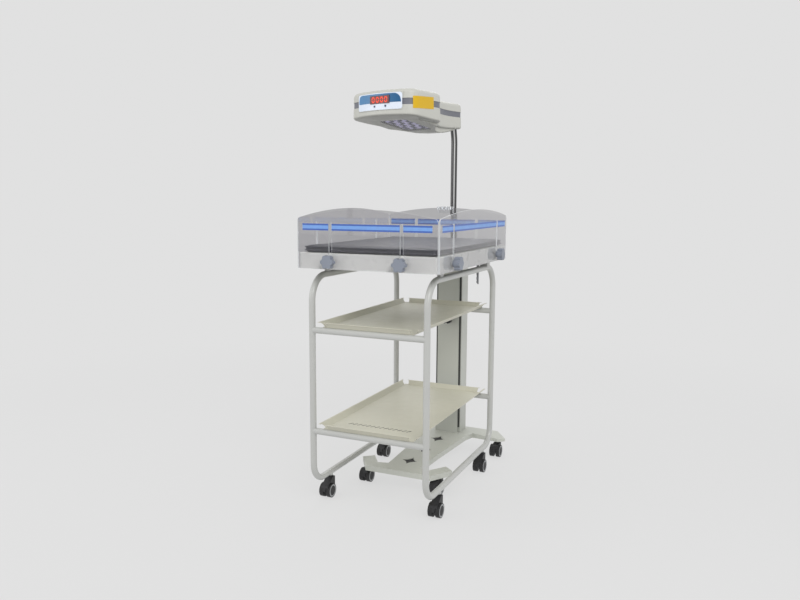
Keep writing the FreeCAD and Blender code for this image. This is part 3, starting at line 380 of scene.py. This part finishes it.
def painted_reflection(name, pale, dark, facing_yaw):
    """Polished tube with a painted reflection: pale down the middle and dark to each side, as
    if it mirrored a dim room.
    """
    mat, tree = new_material(name)
    link = tree.links.new
    shader = add(tree, "BsdfPrincipled", {"Metallic": 1.0, "Roughness": chrome_roughness})
    a = math.radians(facing_yaw)
    side = add(tree, "VectorMath", {1: (math.cos(a), math.sin(a), 0)}, operation="DOT_PRODUCT")
    link(add(tree, "NewGeometry").outputs["Normal"], side.inputs[0])
    scale = add(tree, "Math", {1: 0.5, 2: 0.5}, operation="MULTIPLY_ADD")
    link(side.outputs["Value"], scale.inputs[0])
    ramp = add(tree, "ValToRGB")
    link(scale.outputs[0], ramp.inputs[0])
    stops = ramp.color_ramp.elements
    for stop, share in zip(stops, reflection_rims):
        stop.color = (*(share * c for c in pale), 1)
    for positions, colour in ((reflection_dark_at, dark), (reflection_pale_at, pale)):
        for position in positions:
            stop = stops.new(position)
            stop.color = (*colour, 1)
    link(ramp.outputs[0], shader.inputs["Base Color"])
    show(tree, shader)
    return mat


def fading(name, left, right, x0, x1):
    """Printed film whose colour runs from left to right."""
    mat, tree = new_material(name)
    link = tree.links.new
    shader = add(tree, "BsdfPrincipled", {"Roughness": film_roughness})
    parts = add(tree, "SeparateXYZ")
    link(add(tree, "TexCoord").outputs["Object"], parts.inputs[0])
    blend = add(tree, "Mix", {"A": (*left, 1), "B": (*right, 1)}, data_type="RGBA")
    link(remap(tree, parts.outputs[0], (x0, x1), 0.0, 1.0), blend.inputs["Factor"])
    link(blend.outputs["Result"], shader.inputs["Base Color"])
    show(tree, shader)
    return mat


def chequered(name, light, dark, cell, length, turn, start):
    """Oblong cells in two colours, set along the lamp head from a start point in its own frame."""
    mat, tree = new_material(name)
    link = tree.links.new
    shader = add(tree, "BsdfPrincipled", {"Roughness": cell_roughness,
                                          "Specular IOR Level": cell_gloss})
    place = add(tree, "Mapping", {"Scale": (1, 1, 0), "Rotation": (0, 0, turn),
                                  "Location": (-start[0], -start[1], 0.5 * cell)})
    squeeze = add(tree, "Mapping", {"Scale": (1, cell / length, 1)})
    cells = add(tree, "TexChecker", {"Color1": (*light, 1), "Color2": (*dark, 1),
                                     "Scale": 1 / cell})
    link(add(tree, "TexCoord").outputs["Object"], place.inputs["Vector"])
    link(place.outputs[0], squeeze.inputs["Vector"])
    link(squeeze.outputs[0], cells.inputs["Vector"])
    link(cells.outputs["Color"], shader.inputs["Base Color"])
    show(tree, shader)
    return mat


mast_low, mast_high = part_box("mast")
mast_x = (mast_low[0] + mast_high[0]) / 2
mast_y = (mast_low[1] + mast_high[1]) / 2
window_start = (mast_x * math.cos(head_yaw) - mast_y * math.sin(head_yaw),
                mast_x * math.sin(head_yaw) + mast_y * math.cos(head_yaw) - window_forward)

paints = {
    "frame": surface("frame_coat", linear(184, 185, 182), 0.32, coat=0.25, mottle=0.02),
    "shelf": surface("shelf_coat", linear(198, 196, 180), 0.42, mottle=0.03, grain=0.25),
    "pan": surface("pan_moulding", linear(215, 216, 212), 0.30, coat=0.2, mottle=0.02),
    "zinc": surface("zinc_steel", linear(150, 150, 150), 0.38, metallic=0.9, mottle=0.06,
                    grain=0.2),
    "stay": surface("stay_bar", linear(118, 120, 124), 0.45, metallic=0.3),
    "knob": surface("knob_moulding", linear(130, 136, 148), 0.45, grain=0.3),
    "castor": surface("castor_moulding", linear(34, 34, 36), 0.45, grain=0.3),
    "wheel": surface("castor_tread", linear(30, 30, 31), 0.55, grain=0.3),
    "rim": surface("castor_rim", linear(150, 152, 154), 0.35),
    "stand": surface("stand_coat", linear(196, 198, 190), 0.42, mottle=0.03, grain=0.25),
    "column": surface("column_coat", linear(188, 190, 183), 0.38, mottle=0.02, grain=0.2),
    "strip": surface("column_strip", linear(52, 52, 52), 0.6),
    "chrome": painted_reflection("chrome_tube", reflection_pale, reflection_dark, camera_yaw),
    "black": surface("black_moulding", linear(36, 36, 38), 0.45, grain=0.3),
    # The lamp head's underside takes a painted shade
    "head": surface("head_moulding", linear(192, 192, 185), 0.46, mottle=0.02, under=0.66),
    "band": surface("head_band_moulding", linear(112, 114, 122), 0.42),
    "board": chequered("lamp_cells", linear(206, 200, 236), linear(30, 28, 84), lamp_cell,
                       lamp_cell_length, head_yaw, window_start),
    "sink": surface("heat_sink_metal", (0.5, 0.5, 0.5), 0.4, metallic=1.0),
    "film_pale": surface("panel_film_pale", linear(222, 230, 243), 0.3, mottle=0.02),
    "display": surface("display_window", linear(90, 14, 14), 0.12, grain=0.0),
    "button": surface("button_membrane", linear(58, 66, 98), 0.4),
    "plate": surface("side_plate", linear(214, 172, 0), 0.35, mottle=0.05),
    "cover": surface("mattress_cover", linear(64, 65, 73), 0.36, mottle=0.05, grain=0.35,
                     grain_scale=700.0),
    # Clear pieces, their cut edges with a painted highlight
    "clear_x": clear("acrylic_side", acrylic_tint, acrylic_roughness, edge_axis=0),
    "clear_y": clear("acrylic_end", acrylic_tint, acrylic_roughness, edge_axis=1),
    "clip": clear("acrylic_clip", clip_tint, 0.05, edge_axis=1, edge_highlight_share=0.75),
    "lens": clear("lamp_lens", lens_tint, 0.02, index=lens_index),
    "ink_light": printed("stripe_light", linear(112, 160, 226), 0.9),
    "ink_dark": printed("stripe_dark", linear(58, 96, 178), 0.95),
    "lit": glowing("lit_red", lit_red, lit_strength),
}

node_paint = {
    "frame_left": "frame", "frame_right": "frame", "crossbars": "frame", "bed_brackets": "frame",
    "shelf_upper": "shelf", "shelf_lower": "shelf", "bassinet_base": "pan", "bed_rails": "zinc",
    "tilt_stay": "stay", "clamp_studs": "zinc", "stand_base": "stand", "column": "column",
    "column_seals": "strip", "column_cap": "black", "mast_guide": "black", "mast": "chrome",
    "column_knob": "black", "mains_module": "black", "mains_switch": "black",
    "head_tube": "chrome", "head_lower_shell": "head", "head_upper_shell": "head",
    "head_band": "band", "head_lens": "lens", "led_board": "board", "heat_sink": "sink",
    "control_panel": "film_pale", "display": "display", "button_left": "button",
    "button_right": "button", "wall_left": "clear_x", "wall_right": "clear_x",
    "wall_front": "clear_y", "wall_rear": "clear_y", "tube_clip": "clip",
}
family_paint = {"knob": "knob", "castor": "castor", "wheels": "wheel"}

for name, node in nodes.items():
    paint = node_paint.get(name) or family_paint.get(name.split("_")[0])
    if paint:
        for slot in node.material_slots:
            slot.material = paints[paint]


def darken_vents():
    """Painted shade: dark walls in the lower shelf's slots, which are too fine to fall into shade.
    """
    mesh = nodes["shelf_lower"].data
    mesh.materials.append(paints["strip"])
    for face in mesh.polygons:
        x, y, z = face.center
        in_row = abs(x) < vent_half_row and abs(y - vent_row_y) < vent_reach_y
        if in_row and abs(z - vent_z) < vent_reach and abs(face.normal.z) < 0.5:
            face.material_index = len(mesh.materials) - 1


darken_vents()


def link_object(name, data):
    obj = bpy.data.objects.new(name, data)
    bpy.context.scene.collection.objects.link(obj)
    return obj


def piece(name, vertices, faces, materials, face_material=None, smooth=False):
    mesh = bpy.data.meshes.new(name)
    mesh.from_pydata([tuple(v) for v in vertices], [], faces)
    for mat in materials:
        mesh.materials.append(mat)
    if face_material:
        for face, index in zip(mesh.polygons, face_material):
            face.material_index = index
    if smooth:
        mesh.polygons.foreach_set("use_smooth", [True] * len(mesh.polygons))
    mesh.update()
    return link_object(name, mesh)


def apply(obj, modifier):
    bpy.context.view_layer.objects.active = obj
    bpy.ops.object.modifier_apply(modifier=modifier.name)


# Printed stripe on the clear walls

base_low, base_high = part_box("bassinet_base")
middle_y = (base_low[1] + base_high[1]) / 2


def stripe(node):
    """Three bands along the wall's outer face, broken at the slots."""
    low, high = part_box(node)
    across = 0 if high[0] - low[0] < high[1] - low[1] else 1
    along = 1 - across
    middle = (low[along] + high[along]) / 2
    bed_middle = (0, middle_y)[across]
    outward = 1 if (low[across] + high[across]) / 2 > bed_middle else -1
    face = (high if outward > 0 else low)[across] + outward * stripe_lift
    half = (high[along] - low[along]) / 2 - stripe_end_inset[node]
    slot = slot_from_middle[node]
    gap = wall_slot_gap / 2
    spans = [(-half, -slot - gap), (-slot + gap, slot - gap), (slot + gap, half)]
    levels = [stripe_low_z, stripe_low_z + stripe_line, stripe_high_z - stripe_line,
              stripe_high_z]
    vertices, faces, which = [], [], []
    for start, end in spans:
        for i, (z0, z1) in enumerate(zip(levels, levels[1:])):
            first = len(vertices)
            for position, z in ((start, z0), (end, z0), (end, z1), (start, z1)):
                point = [0, 0, z]
                point[across] = face
                point[along] = middle + position
                vertices.append(point)
            faces.append((first, first + 1, first + 2, first + 3))
            which.append(0 if i == 1 else 1)
    obj = piece("stripe_" + node[5:], vertices, faces, [paints["ink_light"], paints["ink_dark"]],
                which)
    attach(obj, node)


for wall in stripe_end_inset:
    stripe(wall)


# Mattress: a thin pad in a welted wipe-clean cover, puffed up by cloth pressure

def mattress_pad(low, high):
    """The pad's rounded block, remeshed evenly."""
    size = [high[i] - low[i] - 2 * pad_inset for i in range(2)]
    size.append(high[2] - low[2] - pad_top_inset)
    centre = [(high[i] + low[i]) / 2 for i in range(3)]
    centre[2] -= pad_top_inset / 2
    bm = bmesh.new()
    bmesh.ops.create_cube(bm, size=1.0)
    bmesh.ops.scale(bm, vec=size, verts=bm.verts)
    bmesh.ops.translate(bm, vec=centre, verts=bm.verts)
    upright = [e for e in bm.edges if abs(e.verts[0].co.z - e.verts[1].co.z) > 0.5 * size[2]]
    bmesh.ops.bevel(bm, geom=upright, offset=pad_corner_r, segments=pad_corner_segments,
                    affect="EDGES", profile=0.5)
    level = [e for e in bm.edges if abs(e.verts[0].co.z - e.verts[1].co.z) < 1e-6
             and len(e.link_faces) == 2
             and abs(e.link_faces[0].normal.z - e.link_faces[1].normal.z) > 0.5]
    bmesh.ops.bevel(bm, geom=level, offset=pad_edge_r, segments=pad_edge_segments,
                    affect="EDGES", profile=0.5)
    mesh = bpy.data.meshes.new("mattress_pad")
    bm.to_mesh(mesh)
    bm.free()
    mesh.materials.append(paints["cover"])
    obj = link_object("mattress_pad", mesh)
    remesh = obj.modifiers.new("remesh", "REMESH")
    remesh.mode = "VOXEL"
    remesh.voxel_size = pad_voxel
    apply(obj, remesh)
    return obj


def puff(obj, rest_z):
    """Swell a pad by cloth pressure: flat where it rests, and moved no further than the cap."""
    start = [v.co.copy() for v in obj.data.vertices]
    group = obj.vertex_groups.new(name="rests")
    group.add([i for i, p in enumerate(start) if p.z < rest_z + puff_rest_margin], 1.0, "REPLACE")
    cloth = obj.modifiers.new("cloth", "CLOTH")
    settings = cloth.settings
    settings.quality = puff_quality
    settings.tension_stiffness = puff_stiffness
    settings.compression_stiffness = puff_stiffness
    settings.bending_stiffness = puff_bending
    settings.vertex_group_mass = group.name
    settings.use_pressure = True
    settings.uniform_pressure_force = puff_pressure
    settings.effector_weights.gravity = 0
    for step in range(1, puff_steps + 1):
        bpy.context.scene.frame_set(step)
    apply(obj, cloth)
    for v, p in zip(obj.data.vertices, start):
        moved = v.co - p
        if moved.length > puff_cap:
            v.co = p + moved.normalized() * puff_cap
    bpy.context.scene.frame_set(1)
    obj.vertex_groups.clear()


def smooth_pad(obj):
    finer = obj.modifiers.new("finer", "SUBSURF")
    finer.levels = 1
    finer.render_levels = 1
    obj.data.polygons.foreach_set("use_smooth", [True] * len(obj.data.polygons))


def welt(name, low, high, z):
    """Piping around the pad, along its rounded outline."""
    back = pad_corner_r + welt_r + welt_back
    corners = ((high[0] - back, high[1] - back, 0), (low[0] + back, high[1] - back, 90),
               (low[0] + back, low[1] + back, 180), (high[0] - back, low[1] + back, 270))
    vertices, faces = [], []
    for cx, cy, turn in corners:
        for step in range(welt_corner_steps + 1):
            a = math.radians(turn + 90 * step / welt_corner_steps)
            for k in range(welt_sides):
                b = 2 * math.pi * k / welt_sides
                reach = pad_corner_r + welt_r * math.cos(b)
                vertices.append((cx + reach * math.cos(a), cy + reach * math.sin(a),
                                 z + welt_r * math.sin(b)))
    rings = len(vertices) // welt_sides
    for i in range(rings):
        a, b = i * welt_sides, (i + 1) % rings * welt_sides
        for k in range(welt_sides):
            m = (k + 1) % welt_sides
            faces.append((a + k, b + k, b + m, a + m))
    obj = piece(name, vertices, faces, [paints["cover"]], smooth=True)
    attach(obj, "bassinet")


pad_low, pad_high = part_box("mattress")
pad = mattress_pad(pad_low, pad_high)
puff(pad, pad_low[2])
smooth_pad(pad)
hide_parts("mattress")
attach(pad, "bassinet")
welt("mattress_welt_upper", pad_low, pad_high, pad_high[2] - welt_from_face)
welt("mattress_welt_lower", pad_low, pad_high, pad_low[2] + welt_from_face)


# Lamp head

def head_place(forward, sideways, z):
    """A point in the lamp head's own directions, from the mast's axis."""
    return Vector((mast_x + sideways * math.cos(head_yaw) - forward * math.sin(head_yaw),
                   mast_y - sideways * math.sin(head_yaw) - forward * math.cos(head_yaw), z))


def on_arc(radius, angle, z):
    """A point off the head's bowed front, angle in degrees to the right of straight ahead."""
    a = math.radians(angle)
    return head_place(panel_centre_forward + radius * math.cos(a), radius * math.sin(a), z)


def corner_drop(reach, corner):
    """How far a rounded corner's edge lies below the top, at a distance from the side."""
    return corner - math.sqrt(max(0, corner ** 2 - max(0, corner - reach) ** 2))


def bowed_patch(name, radius, a0, a1, z0, z1, corners, mat):
    """A film patch that follows the bowed front, with rounded upper corners."""
    vertices = []
    for i in range(film_columns + 1):
        angle = a0 + (a1 - a0) * i / film_columns
        drop = max(corner_drop(math.radians(angle - a0) * radius, corners[0]),
                   corner_drop(math.radians(a1 - angle) * radius, corners[1]))
        vertices += [on_arc(radius, angle, z0), on_arc(radius, angle, z1 - drop)]
    faces = [(2 * i, 2 * i + 2, 2 * i + 3, 2 * i + 1) for i in range(film_columns)]
    obj = piece(name, vertices, faces, [mat], smooth=True)
    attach(obj, "head")


def arc(centre, radius, start, finish, steps, outward=1):
    """Points along an arc, each with its outward way: -1 where the arc is hollow."""
    points = []
    for i in range(steps + 1):
        a = start + (finish - start) * i / steps
        way = Vector((math.cos(a), math.sin(a)))
        points.append((centre + way * radius, way * outward))
    return points


def neck_outline(inset):
    """The casing's plan, right shoulder to the back of the neck: points and outward ways."""
    shoulder, end = Vector(shoulder_centre), Vector(neck_end_centre)
    to_waist, from_waist = shoulder_r + waist_r, neck_end_r + waist_r
    line = end - shoulder
    along = (to_waist ** 2 - from_waist ** 2 + line.length ** 2) / (2 * line.length)
    off = math.sqrt(to_waist ** 2 - along ** 2)
    unit = line.normalized()
    waist = shoulder + unit * along + Vector((unit.y, -unit.x)) * off
    turn = math.atan2(waist.y - shoulder.y, waist.x - shoulder.x)
    back = math.atan2(waist.y - end.y, waist.x - end.x)
    ahead = math.atan2(shoulder.y - waist.y, shoulder.x - waist.x)
    behind = math.atan2(end.y - waist.y, end.x - waist.x)
    return (arc(shoulder, shoulder_r - inset, math.pi / 2, turn, short_arc_steps)
            + arc(waist, waist_r + inset, ahead, behind, waist_arc_steps, -1)[1:]
            + arc(end, neck_end_r - inset, back, math.pi, short_arc_steps)[1:])


def bow(points, forward):
    """Height on the parabola through three forward places and heights."""
    (f0, z0), (f1, z1), (f2, z2) = points
    a = (forward - f1) * (forward - f2) / ((f0 - f1) * (f0 - f2))
    b = (forward - f0) * (forward - f2) / ((f1 - f0) * (f1 - f2))
    c = (forward - f0) * (forward - f1) / ((f2 - f0) * (f2 - f1))
    return a * z0 + b * z1 + c * z2


def casing_floor(forward):
    """Height of the casing's bowed underside."""
    return bow(casing_underside, forward)


def pan_floor(forward):
    """Height of the pan's underside: a slope to its ridge, then a bowed rise to its back."""
    ridge, ridge_z = pan_underside[0]
    if forward > ridge:
        return ridge_z + (forward - ridge) * pan_slope
    return bow(pan_underside, forward)


def prism(name, rings):
    """Closed strip through rings with the same number of points each."""
    count = len(rings[0])
    last = count * (len(rings) - 1)
    faces = [tuple(range(count))]
    for a in range(0, last, count):
        b = a + count
        for k in range(count):
            m = (k + 1) % count
            faces.append((a + k, b + k, b + m, a + m))
    faces.append(tuple(range(last + count - 1, last - 1, -1)))
    obj = piece(name, [p for ring in rings for p in ring], faces, [paints["head"]])
    bm = bmesh.new()
    bm.from_mesh(obj.data)
    bmesh.ops.recalc_face_normals(bm, faces=bm.faces)
    bm.to_mesh(obj.data)
    bm.free()
    return obj


def cut_away(obj, tool):
    cut = obj.modifiers.new("cut", "BOOLEAN")
    cut.operation = "DIFFERENCE"
    cut.solver = "EXACT"
    cut.object = tool
    apply(obj, cut)
    bpy.data.objects.remove(tool)


def neck_section(rim, point):
    """Section of the neck's wall, rounded edge, floor and pan side, as insets and heights."""
    floor = casing_floor(rim.x) - skin_lift
    low = pan_floor(point.x)
    inner = pan_trim_inset + pan_wall
    r = casing_edge_r
    outer = [(casing_draft - skin_lift, pan_top)]
    for k in range(casing_edge_steps + 1):
        a = math.radians(180 + 90 * k / casing_edge_steps)
        outer.append((casing_draft + r + r * math.cos(a), floor + r + r * math.sin(a)))
    return outer + [(pan_trim_inset, floor), (pan_trim_inset, low), (inner, low),
                    (inner, floor + pan_wall), (casing_draft + pan_wall, floor + r),
                    (casing_draft + pan_wall, pan_top)]


def copy_of(node, name):
    """A head piece's own copy, shown in its place."""
    obj = link_object(name, nodes[node].data.copy())
    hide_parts(node)
    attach(obj, "head")
    return obj


def trim_head():
    """Keep the pan and the lamp board inside the narrowing neck, and wall the pan there."""
    obj = copy_of("head_lower_shell", "lower_casing")
    board = copy_of("led_board", "lamp_board")
    for side in (1, -1):
        def ring(*corners):
            """A ring of places in plan, each with its height, on this side of the head."""
            return [head_place(spot.x, side * spot.y, z) for spot, z in corners]

        below, outside, past_wall, wall = [], [], [], []
        for point, way in neck_outline(pan_trim_inset):
            far = point + way * pan_trim_reach
            edge = point + way * (pan_trim_inset + pan_trim_gap)
            inside = point - way * (pan_wall + pan_trim_gap)
            below.append(ring((point, pan_trim_low),
                              (point, casing_floor(point.x) - pan_trim_gap),
                              (far, casing_floor(far.x) - pan_trim_gap), (far, pan_trim_low)))
            outside.append(ring((edge, pan_trim_low), (edge, pan_trim_high),
                                (far, pan_trim_high), (far, pan_trim_low)))
            past_wall.append(ring((inside, pan_trim_low), (inside, pan_trim_high),
                                  (far, pan_trim_high), (far, pan_trim_low)))
            rim = point + way * pan_trim_inset
            if rim.x > pan_back and abs(point.y) < pan_half_w:
                wall.append(ring(*((rim - way * inset, z)
                                   for inset, z in neck_section(rim, point))))
        cut_away(obj, prism("trim", below))
        cut_away(obj, prism("trim", outside))
        cut_away(board, prism("trim", past_wall))
        skirt = prism("pan_wall_right" if side > 0 else "pan_wall_left", wall)
        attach(skirt, "head")


trim_head()

panel_low, panel_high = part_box("control_panel")
film_blue = fading("panel_film_blue", linear(82, 134, 180), linear(16, 84, 130), panel_low[0],
                   panel_high[0])
bowed_patch("panel_blue", panel_radius + film_lift,
            panel_angle - panel_half_angle + blue_margin,
            panel_angle + panel_half_angle - blue_margin,
            panel_low[2] + blue_foot, panel_high[2] - blue_edge, blue_corners, film_blue)


def surface_tree(node):
    mesh = nodes[node].data
    return BVHTree.FromPolygons([v.co.copy() for v in mesh.vertices],
                                [list(p.vertices) for p in mesh.polygons])


def side_plate():
    """Thin plain plate that wraps the head's right front corner across the band."""
    trees = surface_tree("head_lower_shell"), surface_tree("head_upper_shell")
    forward, sideways = plate_centre
    start_angle, end_angle = plate_angles
    vertices = []
    for i in range(plate_columns + 1):
        angle = math.radians(start_angle + (end_angle - start_angle) * i / plate_columns)
        edge = []
        for tree, level in zip(trees, plate_z):
            z = level + plate_rise * i / plate_columns
            start = head_place(forward, sideways, z)
            ahead = head_place(forward + math.cos(angle), sideways + math.sin(angle), z) - start
            way = ahead.normalized()
            hit = tree.ray_cast(start + way * plate_search_reach, -way)[0]
            edge.append((hit, way))
        for lift in (film_lift, plate_thickness):
            vertices += [hit + way * lift for hit, way in edge]
    faces = []
    for a in range(0, 4 * plate_columns, 4):
        b = a + 4
        faces += [(a + 2, b + 2, b + 3, a + 3), (a, a + 1, b + 1, b), (a, b, b + 2, a + 2),
                  (a + 1, a + 3, b + 3, b + 1)]
    last = 4 * plate_columns
    faces += [(0, 2, 3, 1), (last, last + 1, last + 3, last + 2)]
    obj = piece("side_plate", vertices, faces, [paints["plate"]])
    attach(obj, "head")


side_plate()


def digits():
    """Lit zeros on the display's face, each of six bars."""
    low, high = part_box("display")
    z_mid = (low[2] + high[2]) / 2
    w, h, t = digit_w / 2, digit_h / 2, segment_w
    vertices, faces = [], []

    def bar(s0, s1, z0, z1):
        first = len(vertices)
        for s, z in ((s0, z0), (s1, z0), (s1, z1), (s0, z1)):
            sideways = (on_arc(display_radius, display_angle + 90, z)
                        - head_place(panel_centre_forward, 0, z))
            vertices.append(on_arc(display_radius, display_angle, z) + sideways.normalized() * s)
        faces.append((first, first + 1, first + 2, first + 3))

    for i in range(digit_count):
        c = (i - (digit_count - 1) / 2) * digit_pitch
        for s in (-w, w - t):
            bar(c + s, c + s + t, z_mid - h + t, z_mid - t / 4)
            bar(c + s, c + s + t, z_mid + t / 4, z_mid + h - t)
        for z in (-h, h - t):
            bar(c - w + t / 2, c + w - t / 2, z_mid + z, z_mid + z + t)
    obj = piece("display_figures", vertices, faces, [paints["lit"]])
    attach(obj, "head")


digits()


# Pale rings on the castor wheels' outer faces

def rim_rings(body):
    low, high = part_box(body)
    y = (low[1] + high[1]) / 2
    z = (low[2] + high[2]) / 2
    vertices, faces = [], []
    for x in (low[0] - rim_lift, high[0] + rim_lift):
        first = len(vertices)
        for i in range(rim_steps):
            a = 2 * math.pi * i / rim_steps
            for r in (rim_inner, rim_outer):
                vertices.append((x, y + r * math.cos(a), z + r * math.sin(a)))
            here, there = first + 2 * i, first + 2 * ((i + 1) % rim_steps)
            faces.append((here, there, there + 1, here + 1))
    obj = piece("rim_" + body[7:], vertices, faces, [paints["rim"]])
    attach(obj, body)


for name in sorted(nodes):
    if name.startswith("wheels_"):
        rim_rings(name)


# Painted shade: dark discs close under the stand's star openings, for its beam's shaded inside

def star_shades():
    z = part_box("stand_base")[1][2] - star_shade_drop
    vertices, faces = [], []
    for k in range(star_count):
        y = middle_y + star_first_y + k * star_pitch
        first = len(vertices)
        for i in range(star_shade_steps):
            a = 2 * math.pi * i / star_shade_steps
            vertices.append((mast_x + star_shade_radius * math.cos(a),
                             y + star_shade_radius * math.sin(a), z))
        faces.append(tuple(range(first, len(vertices))))
    obj = piece("star_shades", vertices, faces, [paints["strip"]])
    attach(obj, "stand")


star_shades()


# Studio

def floor():
    """Pale paper that fades into the backdrop, and is darker seen through the clear walls."""
    mat, tree = new_material("floor_paper")
    link = tree.links.new
    paper = add(tree, "BsdfDiffuse", {"Color": grey(floor_level)})
    far = add(tree, "Emission", {"Color": grey(backdrop_level)})
    behind = add(tree, "Emission", {"Color": grey(behind_clear_level)})
    through = add(tree, "LightPath").outputs["Is Transmission Ray"]
    distance = add(tree, "VectorMath", operation="LENGTH")
    link(add(tree, "TexCoord").outputs["Object"], distance.inputs[0])
    fade = add(tree, "MapRange", {"From Min": floor_fade_from, "From Max": floor_fade_to,
                                  "To Min": floor_near_share}, interpolation_type="SMOOTHSTEP")
    link(distance.outputs["Value"], fade.inputs["Value"])
    show(tree, mix(tree, fade.outputs[0], paper, mix(tree, through, far, behind)))
    r = floor_radius
    corners = [(-r, -r, 0), (r, -r, 0), (r, r, 0), (-r, r, 0)]
    obj = piece("floor", corners, [(0, 1, 2, 3)], [mat])


def studio_world():
    """A soft white surround, seen as the backdrop's grey, and darker through the clear walls."""
    world = bpy.data.worlds.new("studio")
    bpy.context.scene.world = world
    world.use_nodes = True
    tree = world.node_tree
    tree.nodes.clear()
    lit, seen, dim = [add(tree, "Background", {"Color": grey(level)})
                      for level in (world_level, backdrop_level, behind_clear_level)]
    ray = add(tree, "LightPath").outputs
    direct = mix(tree, ray["Is Camera Ray"], lit, seen)
    out = add(tree, "OutputWorld")
    tree.links.new(mix(tree, ray["Is Transmission Ray"], direct, dim).outputs[0],
                   out.inputs["Surface"])


def area_light(name, place, target, size, power):
    data = bpy.data.lights.new(name, "AREA")
    data.shape = "RECTANGLE"
    data.size, data.size_y = size
    data.energy = power
    obj = link_object(name, data)
    obj.location = place
    way = Vector(target) - Vector(place)
    obj.rotation_euler = way.to_track_quat("-Z", "Y").to_euler()


def camera():
    data = bpy.data.cameras.new("camera")
    data.lens = camera_lens
    data.sensor_width = sensor_width
    obj = link_object("camera", data)
    turn = Matrix.Rotation(math.radians(camera_yaw), 4, "Z")
    tilt = Matrix.Rotation(math.radians(90 - camera_pitch), 4, "X")
    roll = Matrix.Rotation(math.radians(camera_roll), 4, "Z")
    obj.matrix_world = Matrix.Translation(camera_place) @ turn @ tilt @ roll
    bpy.context.scene.camera = obj


floor()
studio_world()
for light in area_lights:
    area_light(*light)
camera()
bpy.context.scene.view_settings.view_transform = "Standard"
